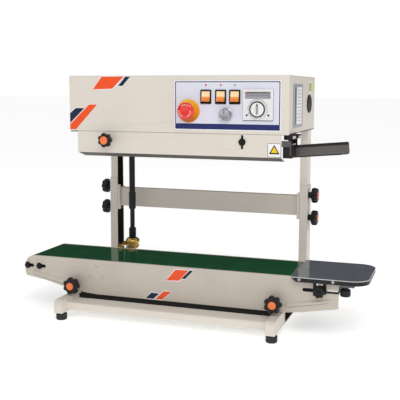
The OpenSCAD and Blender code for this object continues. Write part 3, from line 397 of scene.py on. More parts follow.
def turned(profile, place, segments=64, relief=None):
    """Turns a line of (radius, height) in millimetres about Z; relief(angle, r, h) may cut into it."""
    rings = []
    for r, h in profile:
        ring = []
        for i in range(segments):
            angle = 2 * math.pi * i / segments
            rr, hh = relief(angle, r, h) if relief else (r, h)
            ring.append((rr * math.cos(angle), rr * math.sin(angle), hh))
        rings.append(ring)
    return loft(rings, place)


def raised(outline, height):
    """An outline as a ring at one height."""
    return [(p[0], p[1], height) for p in outline]


def slab(outline, low, high, place):
    """A plate between two heights over an outline in millimetres."""
    return loft([raised(outline, low), raised(outline, high)], place)


def frame_slab(outer, inner, low, high, place):
    """A flat frame between two outlines with the same number of points."""
    rings = [raised(outer, low), raised(outer, high), raised(inner, high), raised(inner, low)]
    return loft(rings, place, closed=True)


def bow(start, end, radius, width, low, high, place, steps=24):
    """A flat ring segment between two angles in degrees."""
    angles = [start + (end - start) * i / steps for i in range(steps + 1)]
    outer = [polar(radius + width / 2, angle) for angle in angles]
    inner = [polar(radius - width / 2, angle) for angle in angles]
    return slab(outer + inner[::-1], low, high, place)


# ---- Small hardware ----

def cross_recess(depth, reach, arm=0.42):
    """Sinks a cross into the middle of a screw's head."""
    def relief(angle, r, h):
        near_arm = abs((angle + math.pi / 4) % (math.pi / 2) - math.pi / 4) < arm
        return (r, h - depth) if near_arm and 0.3 < r <= reach else (r, h)
    return relief


def pan_screw(name, place, axis, d, body, material="zinc"):
    """Domed screw head of diameter d with a cross recess."""
    r = d / 2
    profile = fillet([(r * 0.9, -0.2), (r, 0), (r, 0.18 * d), (0.6 * r, 0.36 * d)], 0.2 * r)
    profile += [(0.56 * r, 0.37 * d), (0.55 * r, 0.37 * d), (0.3 * r, 0.39 * d), (0.05 * r, 0.39 * d)]
    bm = turned(profile, facing(place, axis), 48, cross_recess(0.16 * d, 0.55 * r))
    return piece(name, bm, material, body)


def hex_bolt(name, place, axis, d, body, material="zinc"):
    """Hexagon nut on a washer, with the end of its stud."""
    seat = facing(place, axis)
    washer = turned(fillet([(0.1, 0), (1.05 * d, 0), (1.05 * d, 1.2), (0.1, 1.2)], 0.25), seat, 40)
    flat = [polar(0.92 * d, 60 * i) for i in range(6)]
    rings = [[(x * k, y * k, h) for x, y in flat] for k, h in ((1, 1.2), (1, 4.3), (0.9, 5.0))]
    stud = turned(fillet([(0.1, 0), (0.5 * d, 0), (0.5 * d, 6.3), (0.4 * d, 6.8), (0.1, 6.8)], 0.3), seat, 32)
    return piece(name, join(washer, loft(rings, seat), stud), material, body)


def knob_seat(node, total):
    """Where a knob's head starts on its joint's axis, so that its outer end is the node's own."""
    joint = JOINTS[node]
    axis, place = Vector(joint["axis"]), Vector(joint["pos_m"])
    low, high, _ = corners_of(node)
    end = max(low.dot(axis), high.dot(axis))
    return place + axis * (end - place.dot(axis) - total * MM), axis


LOBES = 7


def star_knob(node, d, hub, head, cap_share=0.44, cap_material="orange_cap"):
    """Lobed clamp knob with a cap in its middle."""
    r = d / 2
    place, axis = knob_seat(node, hub + head + 1.5)
    seat = facing(place, axis)
    top = hub + head

    def scallops(angle, radius, height):
        depth = 0.17 * r * (0.5 - 0.5 * math.cos(LOBES * angle)) ** 1.4
        share = max(0.0, min(1.0, (radius / r - 0.45) / 0.5))
        return radius - depth * share, height

    profile = fillet([
        (0.40 * r, 0), (0.40 * r, 0.55 * hub), (0.46 * r, hub - 0.5), (0.86 * r, hub + 0.6),
        (r, hub + 0.22 * head), (r, top - 0.25 * head), (0.88 * r, top - 0.3), (0.62 * r, top),
        (0.52 * r, top - 0.2), (0.5 * r, top - 1.4), (0.3 * r, top - 1.4)], 0.09 * d, 5)
    grip = turned(profile, seat, LOBES * 18, scallops)
    piece(node + "_grip", grip, "black_plastic", node, (node,))
    cap = fillet([(0.3 * r, top - 1.5), (cap_share * r, top - 1.5), (cap_share * r, top + 0.5),
                  (0.8 * cap_share * r, top + 1.4), (0.04 * r, top + 1.5)], 0.8)
    piece(node + "_cap", turned(cap, seat, 48), cap_material, node)
    stud = fillet([(0.2, -7), (3.4, -7), (3.9, -6.2), (3.9, 0.2), (0.2, 0.2)], 0.3)
    piece(node + "_stud", turned(stud, seat, 32), "zinc", node)


# ---- Knobs and controls ----

def clamp_knobs():
    for side, _ in SIDES:
        star_knob("conveyor_knob_" + side, 43, 14, 20)
        for level in ("upper", "lower"):
            star_knob(f"column_knob_{side}_{level}", 40, 8, 17)
    star_knob("pressure_knob", 36, 16, 17, cap_share=0.56)
    star_knob("feed_knob_front", 28, 5, 13, cap_share=0.3, cap_material="black_steel")


def lower_feed_knob():
    node = "feed_knob_lower"
    low, high, _ = corners_of(node)
    length = (high.z - low.z) / MM
    x, y, _ = JOINTS[node]["pos_m"]
    seat = facing((x, y, high.z), DOWN)

    def knurl(angle, radius, height):
        return radius - 0.8 * max(0.0, math.cos(16 * angle)) * (radius > 10), height

    profile = fillet([(4, 0), (7, 0), (7, 0.2 * length), (11.6, 0.26 * length), (12, 0.4 * length),
                      (12, 0.9 * length), (10.4, length), (0.4, length)], 1.2)
    grip = turned(profile, seat, 96, knurl)
    piece("feed_knob_lower_grip", grip, "black_plastic", node, (node,))


def stop_button():
    low, high, middle = corners_of("estop_button")
    seat = facing((middle.x, low.y, middle.z), FRONT)
    depth = (high.y - low.y) / MM
    mushroom = fillet([(9, -depth), (9, -14.6), (9.2, -13.6), (16.5, -13.4), (19.8, -11.0), (20.5, -7.5),
                       (19.9, -4.0), (16.6, -1.2), (11.5, -0.2), (6.5, -0.9), (0.3, -1.3)], 3.2, 6)
    head = turned(mushroom, seat, 96)
    piece("estop_mushroom", head, "estop_red", "estop_button", ("estop_button",))
    arrow_r = 14.2
    arrows = []
    for turn in (90, 210, 330):
        arrows.append(bow(turn - 38, turn + 22, arrow_r, 1.7, -0.75, -0.42, seat))
        tip = [polar(arrow_r + dr, turn + da) for dr, da in ((-2.3, 22), (2.3, 22), (0, 38))]
        arrows.append(slab(tip, -0.95, -0.42, seat))
    piece("estop_arrows", join(*arrows), "soft_white_print", "estop_button")


def stop_base():
    low, _, middle = corners_of("estop_base")
    seat = facing((middle.x, low.y, middle.z), FRONT)
    plate = -7.0  # front of the yellow disc, behind the collar's front
    collar = fillet([(16.6, plate - 0.4), (16.6, -1.2), (15.4, 0), (9.3, 0), (9.3, -1.5), (5, -1.5)], 0.8)
    disc = fillet([(14, plate - 2), (27.8, plate - 2), (27.8, plate - 0.7), (27, plate), (25.6, plate),
                   (25.2, plate - 0.3), (17.6, plate - 0.3), (14, plate - 0.3)], 0.4)
    back = fillet([(0.5, -56), (14.5, -56), (14.5, -23), (11, -22.6), (11, plate - 1.8),
                   (0.5, plate - 1.8)], 0.6)
    body = join(turned(collar, seat, 72), turned(disc, seat, 96), turned(back, seat, 48))
    piece("estop_ring", body, "estop_yellow", "head", ("estop_base",))


def rockers():
    """Lenses with two slopes that meet in a soft crest, hollowed a little across their width."""
    upper = [(-6.9, 12.1), (-6.35, 8), (-5.9, 4), (-5.7, 0.9)]
    crest = [*upper, (-5.55, 0), *((y, -z) for y, z in reversed(upper))]
    side_line = [(5, -8), (5, 8), (-5.5, 12.6), *crest, (-5.5, -12.6)]
    for side in SWITCHES:
        node = "rocker_" + side
        low, high, _ = corners_of(node)
        tilt = Matrix.Rotation(math.radians(-9), 4, "X")
        seat = Matrix.Translation(JOINTS[node]["pos_m"]) @ tilt @ facing((0, 0, 0), RIGHT)
        half = (high.x - low.x) / MM / 2 - 0.3
        crown = []
        for share in (-1, -0.9, -0.5, 0, 0.5, 0.9, 1):
            at_end = abs(share) == 1
            sink = -0.35 if at_end else 0.5 * (1 - abs(share))
            squeeze = 0.975 if at_end else 1
            crown.append([(y + (sink if y < -5 else 0), z * squeeze, share * half) for y, z in side_line])
        piece(node + "_lens", loft(crown, seat), "rocker_amber", node, (node,), bevel=0.35)


def bezels():
    front = corners_of("switch_bezels")[0].y
    outer, step = rectangle(27, 33.5, 2.4), rectangle(25.4, 31.9, 2.0)
    inner, deep = rectangle(21.4, 29.2, 0.9), rectangle(21.0, 28.6, 0.7)
    lines = ((outer, -2.4), (outer, -0.9), (step, 0), (inner, 0), (deep, -1.4), (deep, -17))
    rings = [raised(line, height) for line, height in lines]
    rings += [[(p[0] * 0.82, p[1] * 0.88, height) for p in outer] for height in (-17, -3)]
    frames = []
    for side in SWITCHES:
        pivot = JOINTS["rocker_" + side]["pos_m"]
        frames.append(loft(rings, facing((pivot[0], front, pivot[2]), FRONT), closed=True))
    piece("rocker_bezels", join(*frames), "black_plastic", "head", ("switch_bezels",))


def speed_knob():
    node = "speed_knob"
    x, _, z = JOINTS[node]["pos_m"]
    seat = facing((x, corners_of(node)[0].y, z), FRONT)

    def knurl(angle, radius, height):
        ridged = 12.2 < radius < 15 and height < -1.6
        return radius - (0.45 if ridged and math.cos(40 * angle) < 0 else 0), height

    profile = fillet([(3, -31.5), (3, -17.9), (15.2, -17.8), (16, -17.2), (16, -15.4), (14.6, -14.8),
                      (14.2, -14), (13.2, -2.2), (12.6, -1.0), (11.4, -0.8), (11.1, -1.3), (0.4, -1.3)],
                     0.5, 3)
    knob = turned(profile, seat, 160, knurl)
    piece("speed_knob_turned", knob, "knob_silver", node, (node,))
    piece("speed_knob_line", slab(rectangle(1.4, 8.5, 0.6, 0, 6.5), -1.4, -0.8, seat), "navy_print", node)


# ---- Temperature controller ----

def square(width, radius):
    return rectangle(width, width, radius)


def controller():
    low, high, middle = corners_of("temp_controller")
    seat = facing((middle.x, low.y, middle.z), FRONT)
    half = (high.x - low.x) / MM / 2
    thick, opening = 5.8, 2 * half - 6.4
    lines = ((square(2 * half, 2.5), -thick), (square(2 * half, 2.5), -1.2), (square(2 * half - 2.2, 2.2), 0),
             (square(opening, 1.6), 0), (square(opening - 0.8, 1.4), -1.0))
    face = loft([raised(line, height) for line, height in lines], seat)
    body = slab(square(2 * half - 5.2, 2), -68, -thick + 0.5, seat)
    piece("controller_case", join(face, body), "meter_white", "head", ("temp_controller",))
    window = 0.50 * half
    outer, inner = rectangle(60, 16, 1.4, 0, window + 4), rectangle(56.6, 12.6, 0.8, 0, window + 4)
    border = frame_slab(outer, inner, -1.1, -0.35, seat)
    piece("controller_window_frame", border, "soft_grey_print", "head")
    glass = slab(rectangle(57, 13, 0.8, 0, window + 4), -1.2, -0.85, seat)
    piece("controller_window", glass, "window_tint", "head")
    shade = slab(rectangle(57, 2.2, 0.3, 0, window + 9.4), -0.86, -0.6, seat)
    piece("controller_window_shade", shade, "black_print", "head")
    # Painted shadow: a black rim round the case that reaches mostly below it, where the case shades the panel
    shadow_rim = slab(rectangle(2 * half + 0.4, 2 * half + 1.2, 2.4, 0, -0.7), -thick, -4.4, seat)
    piece("controller_shadow_rim", shadow_rim, "black_plastic", "head")
    marks = [slab(rectangle(0.7, 6 if i % 5 == 0 else 3.5, 0, -25 + i * 2.5, window + 3.4), -0.86, -0.7, seat)
             for i in range(21)]
    piece("controller_scale", join(*marks), "navy_print", "head")
    for name, x, print_name in (("a", -25.5, "red_dot"), ("b", 24.5, "green_dot")):
        lamp = fillet([(0.1, -1.0), (2.0, -1.0), (2.0, -0.3), (1.2, 0.1), (0.1, 0.2)], 0.5)
        place = facing(seat @ Vector((x * MM, (window + 8.2) * MM, 0)), FRONT)
        piece("controller_lamp_" + name, turned(lamp, place, 24), print_name, "head")
    x, _, z = JOINTS["temp_dial"]["pos_m"]
    ring_seat = facing((x, low.y, z), FRONT)
    ticks = []
    for i, a in enumerate(range(-45, 226, 9)):
        radius, length = (22.6, 2.6) if i % 4 else (23.2, 4.2)
        ticks.append(bow(a - 0.8, a + 0.8, radius, length, -1.05, -0.75, ring_seat, 2))
    piece("controller_ticks", join(*ticks), "black_print", "head")
    for name, side in SIDES:
        spot = seat @ Vector((0.72 * side * half * MM, -0.68 * half * MM, -0.0009))
        pan_screw("controller_screw_" + name, spot, FRONT, 4.6, "head", "black_plastic")


def dial():
    x, _, z = JOINTS["temp_dial"]["pos_m"]
    seat = facing((x, corners_of("temp_dial")[0].y, z), FRONT)
    skirt = fillet([(4, -15.8), (4, -3.4), (18.4, -3.2), (18.6, -2.6), (17.6, -1.9), (15.6, -1.7),
                    (15.2, -1.0), (14.4, -0.6), (0.4, -0.6)], 0.5)
    piece("dial_body", turned(skirt, seat, 96), "meter_white", "temp_dial", ("temp_dial",))
    ring = bow(0, 359.9, 16.8, 3.5, -2.2, -1.55, seat, 96)
    piece("dial_ring", ring, "black_print", "temp_dial")
    grip = slab(rectangle(5.4, 24, 2.4), -0.8, 0.0, seat)
    piece("dial_grip", grip, "soft_grey_print", "temp_dial", bevel=0.3)
    pointer = slab([(-1.6, 8.5), (1.6, 8.5), (0, 13)], -0.1, 0.14, seat)
    piece("dial_pointer", pointer, "black_print", "temp_dial")


# ---- Conveyor ----

def belt():
    """The loop round its three rollers: each direction's point lies on the roller that reaches farthest."""
    low, high, _ = corners_of("conveyor_belt")
    gap = 0.3
    rollers = []
    for node, radius in (("idler_left", 24), ("drive_roller", 29), ("idler_right", 24)):
        place = JOINTS[node]["pos_m"]
        rollers.append((place[0], place[2], (radius + gap) * MM))
    thick, lip = 2.4, 0.5
    width = (high.y - low.y) / MM
    section = [(lip, 0), (width - lip, 0), (width, lip), (width, thick - lip), (width - lip, thick),
               (lip, thick), (0, thick - lip), (0, lip)]
    rings = []
    steps = 240
    for i in range(steps):
        angle = 2 * math.pi * (i + 0.5) / steps
        nx, nz = math.cos(angle), math.sin(angle)
        x, z, r = max(rollers, key=lambda c: c[0] * nx + c[1] * nz + c[2])
        rings.append([((x + nx * (r + h * MM)) / MM, low.y / MM + y, (z + nz * (r + h * MM)) / MM)
                      for y, h in section])
    bm = loft(rings, Matrix.Identity(4), closed=True)
    piece("belt_loop", bm, "green_belt", "conveyor", ("conveyor_belt",))


FRONT_FACE = facing(at(0, 0, 0), FRONT)
GROUND = facing(at(0, 0, 0), UP)


def edge_rings(path, corners_at):
    """Rings along a path in (x, y); corners_at gives each point's section as (outwards, height)."""
    rings = []
    for i, (x, y) in enumerate(path):
        before, after = path[max(0, i - 1)], path[min(len(path) - 1, i + 1)]
        run = Vector((after[0] - before[0], after[1] - before[1])).normalized()
        rings.append([(x + run.y * out, y - run.x * out, up) for out, up in corners_at(x)])
    return rings


def feed_plate_trim():
    """The feed plate's bright edge strip and dark skirt, its slide bar and tab, painted shade behind the slot, and
    the screws.
    """
    low, high, _ = corners_of("feed_plate")
    x0, x1, y0, y1 = (v / MM for v in (low.x, high.x, -HEAD_FRONT_Y + low.y, -HEAD_FRONT_Y + high.y))
    top, corner = high.z / MM, 38
    path = [(x0 + 0.4, y0)]
    for cx, cy, start in ((x1 - corner, y0 + corner, -90), (x1 - corner, y1 - corner, 0)):
        for step in range(17):
            dx, dy = polar(corner, start + step * 90 / 16)
            path.append((cx + dx, cy + dy))
    path.append((x0 + 0.4, y1))
    section = ((0.15, -1.5), (0.15, -0.1), (-0.3, 0.12), (-1.2, 0.12), (-1.2, -0.3), (-0.4, -1.5))
    rings = edge_rings(path, lambda x: [(out, top + up) for out, up in section])
    origin = Matrix.Translation((0, HEAD_FRONT_Y, 0))
    piece("feed_plate_edge", loft(rings, origin), "bright_edge", "feed_table")
    taper = 12.6  # the skirt runs out to nothing over the plate's inner end

    def skirt_section(x):
        foot = top - 2.2 - 9.0 * min(1, (x - x0) / taper)
        return (-0.3, foot), (0.08, foot), (0.08, top - 1.45), (-0.3, top - 1.45)

    ends = ((x0 + 0.6, y0), (x0 + taper, y0), *path[1:-1], (x0 + taper, y1), (x0 + 0.6, y1))
    skirt = loft(edge_rings(ends, skirt_section), origin)
    piece("feed_plate_skirt", skirt, "skirt_black", "feed_table")
    bar = slab(rectangle(33, 6, 1, 388, 114), 17.65, 17.8, FRONT_FACE)
    piece("feed_slide_bar", bar, "zinc", "feed_table", bevel=0.05)
    shade = slab(rectangle(33, 7, 1, 388, 107.5), 17.65, 17.8, FRONT_FACE)
    piece("feed_slide_shade", shade, "skirt_black", "feed_table", bevel=0.05)
    face = slab(rectangle(30.4, 32, 1, 363, 120.5), 22.6, 22.8, FRONT_FACE)
    piece("feed_tab_face", face, "skirt_black", "feed_table", bevel=0.05)
    # Painted shade: a dark sheet behind the slot in the conveyor's front
    backing = slab(rectangle(52, 24, 1, 348, 112), 12.2, 12.8, FRONT_FACE)
    piece("feed_slot_shade", backing, "black_and_painted_shade", "conveyor")
    for i, x in enumerate((317, 394)):
        pan_screw(f"feed_screw_{i}", at(x, -32, 136.5), FRONT, 7.6, "feed_table")
    tab = slab(rectangle(15, 9, 1.2), 0.05, 1.4, facing(at(363, -22.75, 128.5), FRONT))
    piece("feed_tab", tab, "zinc", "feed_table", bevel=0.3)


def pressed_ribs():
    """Rounded beads that run along the conveyor's pressed ribs, lighter than the conveyor as a painted highlight,
    each with a painted shadow line under it.
    """
    for name, a, b in (("left", (-378, 95.3), (-290, 75.7)), ("right", (288, 71.2), (382, 88.3))):
        whole = Vector((b[0] - a[0], 0, b[1] - a[1]))
        run = whole.normalized()
        across = Vector((-run.z, 0, run.x))
        arc = [math.pi * k / 12 for k in range(13)]
        rings = []
        for share, swell in ((0, 0.15), (0.02, 0.7), (0.05, 1), (0.95, 1), (0.98, 0.7), (1, 0.15)):
            middle = Vector((a[0], 0, a[1])) + share * whole
            rings.append([middle + across * (4.2 * swell * math.cos(t)) +
                          Vector((0, -20.9 - 2.4 * swell * math.sin(t), 0)) for t in arc])
        bead = loft(rings, Matrix.Translation(at(0, 0, 0)))
        # Painted highlight: the bead takes the head's lighter beige, not the conveyor's shaded one
        piece("pressed_rib_" + name, bead, "beige_paint", "conveyor")
        # Painted shadow: a dark line under each bead
        shade = [Vector(p) + Vector((across.x, across.z)) * d
                 for p, d in ((a, -5.0), (b, -5.0), (b, -3.2), (a, -3.2))]
        line = slab(shade, 20.85, 21.05, FRONT_FACE)
        piece("rib_shade_" + name, line, "seam_shade", "conveyor", bevel=0.05)


def conveyor_hardware():
    """Screws round the drive bearing, the belt tension bolts and the clamp studs' rear nuts."""
    x, _, z = JOINTS["drive_roller"]["pos_m"]
    drive_x, drive_z = (x - HEAD_MID_X) / MM, z / MM
    for i, a in enumerate((90, 210, 330)):
        dx, dz = polar(19, a)
        pan_screw(f"bearing_screw_{i}", at(drive_x + dx, -20, drive_z + dz), FRONT, 7.8, "conveyor")
    bolt_z = 113.3
    for i, x in enumerate((-398.5, -364.5)):
        for side, y, axis in (("front", -20.35, FRONT), ("rear", 144.0, BACK)):
            place = at(x, y, bolt_z)
            hex_bolt(f"tension_bolt_{side}_{i}", place, axis, 7.9, "tension_carriage", "black_steel")
    stud_x, stud_z = 259.5, 75.5
    for name, side in SIDES:
        hex_bolt("rear_nut_" + name, at(side * stud_x, 147.3, stud_z), BACK, 8, "conveyor", "zinc")


def feet():
    profile = fillet([(0.3, 0), (11.8, 0), (13.5, 2.6), (13.5, 6), (12.7, 6.6), (12.7, 7.4), (13.5, 8),
                      (13.5, 14.6), (11.8, 16), (7, 16.2), (7, 19), (0.3, 19)], 0.5)
    for i, x in enumerate((-267, 267)):
        for j, y in enumerate((-83, 287)):
            seat = facing(at(x, y, 0), UP)
            replaced = ("rubber_feet",) if (i, j) == (0, 0) else ()
            piece(f"foot_{i}_{j}", turned(profile, seat, 48), "rubber", "stand", replaced)


def painted_shade_sheets():
    """Painted shade: dark sheets on the inner faces of the columns and legs, and a black rail under the conveyor
    that stands for the shade there.
    """
    for name, side in SIDES:
        # Painted shade inside the open channels of the columns and legs
        upper = slab(rectangle(34.6, 229, 0.6), 0, 0.3, facing(at(side * 277.6, 254, 343.5), (-side, 0, 0)))
        piece(f"column_shade_upper_{name}", upper, "black_and_painted_shade", "head", bevel=0.05)
        lower = slab(rectangle(39.4, 138, 0.6), 0, 0.25, facing(at(side * 279.95, 254, 126), (-side, 0, 0)))
        piece(f"column_shade_lower_{name}", lower, "black_and_painted_shade", "stand", bevel=0.05)
        web = slab(rectangle(292, 27, 3), 0, 0.5, facing(at(side * 258.1, 152.5, 34.8), (side, 0, 0)))
        piece(f"leg_shade_{name}", web, "black_and_painted_shade", "stand", bevel=0.1)
        sole = slab(rectangle(18.8, 290, 1, side * 268, 152.5), 21.1, 21.6, GROUND)
        piece(f"leg_sole_shade_{name}", sole, "black_and_painted_shade", "stand", bevel=0.1)
        upper_rear = slab(rectangle(18.6, 229, 0.6), 0, 0.3, facing(at(side * 269.6, 271.65, 343.5), FRONT))
        piece(f"column_shade_upper_rear_{name}", upper_rear, "black_and_painted_shade", "head", bevel=0.05)
        lower_rear = slab(rectangle(18.4, 172, 0.6), 0, 0.12, facing(at(side * 270.8, 273.95, 141.5), FRONT))
        piece(f"column_shade_lower_rear_{name}", lower_rear, "black_and_painted_shade", "stand", bevel=0.05)
    # Painted shade: the rail is darkened to stand for the shade under the conveyor
    rail = slab(rectangle(508, 18.5, 0.6), 0, 3.6, facing(at(0, -10.8, 47.3), FRONT))
    piece("under_rail_shade", rail, "black_and_painted_shade", "stand", bevel=0.5)


# ---- Prints and labels ----

PRINT = 0.12  # thickness of a printed or stuck-on layer


def front_print(name, outlines, y, material, body, lift=0.0):
    """Flat prints on an upright face that looks forward, outlined in (x, z)."""
    seat = facing(at(0, y, 0), FRONT)
    piece(name, join(*[slab(line, lift, lift + PRINT, seat) for line in outlines]), material, body)


def grown(outline, by):
    middle = sum((Vector(p) for p in outline), Vector((0, 0))) / len(outline)
    return [Vector(p) + (Vector(p) - middle).normalized() * by for p in outline]


def stripes(prefix, shapes, y, body):
    for i, (material, outline) in enumerate(shapes):
        front_print(f"{prefix}_{i}_halo", [grown(outline, 2.2)], y, "white_print", body, lift=-0.02)
        front_print(f"{prefix}_{i}", [outline], y, material, body, lift=0.02)


def head_prints():
    stripes("head_stripe", (
        ("orange_print", [(-215, 565.5), (-161, 567.5), (-131, 596.8), (-190, 596.8)]),
        ("navy_print", [(-146, 574), (-134, 574), (-113, 596.8), (-126, 596.8)]),
        ("navy_print", [(-278.6, 482), (-238, 519.5), (-262, 519.5), (-278.6, 506)]),
        ("orange_print", [(-278.6, 466), (-262.5, 466), (-203, 528.5), (-225, 528.5), (-278.6, 479)]),
    ), 0, "head")


def conveyor_prints():
    stripes("conveyor_stripe", (
        ("orange_print", [(-13.4, 104.2), (20.4, 106), (45, 133.5), (11, 133)]),
        ("navy_print", [(27, 111.5), (36, 111.5), (57, 133.8), (47.5, 133.8)]),
        ("navy_print", [(-68, 55), (-47.5, 55), (-31, 69.5), (-52, 70.5)]),
        ("orange_print", [(-41, 55), (-24, 55), (0.5, 77), (-19.5, 76.5)]),
    ), -20, "conveyor")


def panel_prints():
    low, high, middle = corners_of("control_panel")
    w, h = (high.x - low.x) / MM, (high.z - low.z) / MM
    seat = facing((middle.x, low.y, middle.z), FRONT)
    borders = (("margin", 0.3, 2.4, "white_print"), ("line", 2.4, 4.8, "panel_navy"),
               ("inner", 4.8, 6.2, "white_print"))
    for name, outer, inner, material in borders:
        outline, hole = rectangle(w - 2 * outer, h - 2 * outer, 2), rectangle(w - 2 * inner, h - 2 * inner, 1)
        piece("panel_" + name, frame_slab(outline, hole, 0.01, PRINT, seat), material, "head")
    band = slab(rectangle(w - 7, 12, 0.4, 0, -h / 2 + 9.6), 0.02, PRINT + 0.03, seat)
    piece("panel_band", band, "panel_navy", "head")
    disc = [polar(2.4, 15 * i) for i in range(24)]
    for side, material in zip(SWITCHES, ("red_dot", "orange_print", "green_dot")):
        pivot = JOINTS["rocker_" + side]["pos_m"]
        spot = facing((pivot[0], low.y, high.z - 0.0112), FRONT)
        piece("panel_mark_" + side, slab(disc, 0.01, PRINT, spot), material, "head")
    x, _, z = JOINTS["speed_knob"]["pos_m"]
    ticks_seat = facing((x, low.y, z), FRONT)
    ticks = [bow(a - 1.6, a + 1.6, 18.6, 2.0, 0.01, PRINT, ticks_seat, 2) for a in range(-45, 226, 27)]
    piece("speed_ticks", join(*ticks), "tick_print", "head")


def side_labels():
    face = HEAD_HIGH[0]
    seat = facing((face, at(0, 96, 0).y, at(0, 0, 528.5).z), RIGHT)
    plate = slab(rectangle(110, 103, 3), 0.0, 0.7, seat)
    piece("rating_plate", plate, "label_metal", "head", bevel=0.2)
    border = frame_slab(rectangle(104, 97, 2), rectangle(101.5, 94.5, 1.2), 0.7, 0.8, seat)
    piece("rating_border", border, "soft_grey_print", "head")
    band = slab(rectangle(15, 88, 0.8, -28, 0), 0.7, 0.82, seat)
    piece("rating_band", band, "graphite_print", "head")
    panel = slab(rectangle(58, 88, 0.8, 14, 0), 0.69, 0.77, seat)
    piece("rating_panel", panel, "white_print", "head")
    rows = [slab(rectangle(46 if i % 3 else 30, 1.5, 0.3, 14, 36 - 8 * i), 0.76, 0.84, seat)
            for i in range(10)]
    piece("rating_rows", join(*rows), "soft_grey_print", "head")
    small = facing((face, at(0, 255.5, 0).y, at(0, 0, 573.5).z), RIGHT)
    piece("small_label", slab(rectangle(52, 30, 1.5), 0.0, 0.15, small), "white_print", "head")
    for name, width, x, material in (("green", 20, -12, "green_dot"), ("yellow", 18, 12, "warning_yellow")):
        field = slab(rectangle(width, 22, 0.5, x, 0), 0.14, 0.22, small)
        piece("small_label_" + name, field, material, "head")


def cover_label():
    seat = facing(at(247, 0, 427.5), FRONT)
    piece("cover_label", slab(rectangle(32, 32, 1.2), 0.0, 0.12, seat), "white_print", "head")
    border = frame_slab(rectangle(32, 32, 1.2), rectangle(30, 30, 1), 0.12, 0.18, seat)
    piece("cover_label_border", border, "graphite_print", "head")
    for name, size, lift, material in (
            ("edge", 26, 0.12, "black_print"), ("field", 17, 0.17, "warning_yellow")):
        tall = size * 0.84
        triangle = round_polygon([(-size / 2, -tall * 0.42), (size / 2, -tall * 0.42), (0, tall * 0.58)], 2.2)
        piece("cover_label_" + name, slab(triangle, lift, lift + 0.06, seat), material, "head")


def seams():
    """The casing's shut lines, painted shade on the cover's lip and painted shade under the casing's left end."""
    front_print("cover_seam", [rectangle(522, 0.9, 0, 3, 462.9)], 0, "seam_shade", "head")
    side = facing((HEAD_HIGH[0], at(0, 157, 0).y, at(0, 0, 464.4).z), RIGHT)
    piece("side_seam", slab(rectangle(296, 2.2, 0.4), 0, 0.15, side), "lip_shade", "head")
    # Painted shade under the casing's left end
    left = slab(rectangle(19, 26, 1, -269, 15), 460.6, 462.9, GROUND)
    piece("casing_shade_left", left, "black_and_painted_shade", "head", bevel=0.3)
    # Painted shade: a dark skin on the cover's lip
    rings = [[at(x, y, z) / MM for y, z in ((0.6, 409.6), (34.4, 399.0), (34.4, 398.7), (0.6, 409.3))]
             for x in (-256, 262)]
    piece("cover_lip", loft(rings, Matrix.Identity(4)), "lip_shade", "head")


# ---- Head fittings ----

def vent():
    _, _, middle = corners_of("vent_cap")
    seat = facing((HEAD_HIGH[0], middle.y, middle.z), RIGHT)
    rim = fillet([(17.4, -6), (18.8, -6), (18.8, 0), (23, 0.1), (23, 2.2), (21.4, 4), (18.6, 4),
                  (17.4, 2.4), (17.4, -6)], 0.7)
    parts = [turned(rim[:-1], seat, 72)]
    for i in range(5):
        z = -12 + 6 * i
        reach = 2 * math.sqrt(17.6 ** 2 - z ** 2)
        blade = [(-reach / 2, z - 1.6), (reach / 2, z - 1.6), (reach / 2, z + 1.3), (-reach / 2, z + 1.3)]
        parts.append(loft([[(x, y - 0.25 * h, h) for x, y in blade] for h in (-4.5, 2.9)], seat))
    parts.append(slab(rectangle(2.2, 33, 0.5), -3, 2.2, seat))
    parts.append(turned([(17.5, -5.4), (17.5, -5.0), (0.2, -5.0)], seat, 48))
    piece("vent_grille", join(*parts), "black_plastic", "head", ("vent_cap",))


def inlet_details():
    _, high, middle = corners_of("power_inlet")
    seat = facing((middle.x, high.y, middle.z), BACK)
    pin = [[(x * k, y * k, h) for x, y in rectangle(2, 5, 0.5)]
           for k, h in ((1, -16.2), (1, -3.4), (0.6, -2.4))]
    pins = [loft(pin, seat @ Matrix.Translation((x * MM, z * MM, 0)))
            for x, z in ((-6.5, -1.2), (0, 2.2), (6.5, -1.2))]
    piece("inlet_pins", join(*pins), "zinc", "head")
    for name, side in (("a", -1), ("b", 1)):
        pan_screw("inlet_screw_" + name, seat @ Vector((side * 0.0185, 0, -0.0024)), BACK, 6, "head")


def rear_louvres():
    """Pressed air slots in the rear panel: a hood over a strip of painted shade."""
    y = (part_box("back_panel")[1][1] - HEAD_FRONT_Y) / MM
    pitch = 13
    for i in range(8):
        seat = facing(at(-214 + pitch * i, y, 530), BACK)
        hood = [[(p[0], p[1], h) for p in rectangle(w, tall, 0.45 * w)] for w, tall, h in
                ((6.4, 62, -0.2), (6.0, 61, 0.7), (4.4, 58, 1.3), (2.4, 55, 1.5))]
        piece(f"rear_louvre_{i}", loft(hood, seat), "beige_paint", "head")
        # Painted shade in the opening under each hood
        gap = slab(rectangle(2.2, 56, 1, 4.3, 0), 0.02, 0.25, seat)
        piece(f"rear_louvre_shade_{i}", gap, "black_and_painted_shade", "head")


def casing_screws():
    low, high, middle = corners_of("back_panel")
    margin = 0.016
    span_x, span_z = (high.x - low.x) / 2 - margin, (high.z - low.z) / 2 - margin
    for i, sx in enumerate((-1, 0, 1)):
        for j, sz in enumerate((-1, 1)):
            place = (middle.x + sx * span_x, high.y, middle.z + sz * span_z)
            pan_screw(f"back_screw_{i}_{j}", place, BACK, 7, "head")
    spots = [(x, 10, 461.5) for x in (-230, 0, 235)] + [(x, 96, 463) for x in (250, 268)]
    spots += [(side * 247, y, 460) for side in (-1, 1) for y in (242, 264)]
    for i, spot in enumerate(spots):
        screw = pan_screw(f"head_screw_{i}", at(*spot), DOWN, 9, "head")
        if i == 0:
            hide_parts("head_screws")


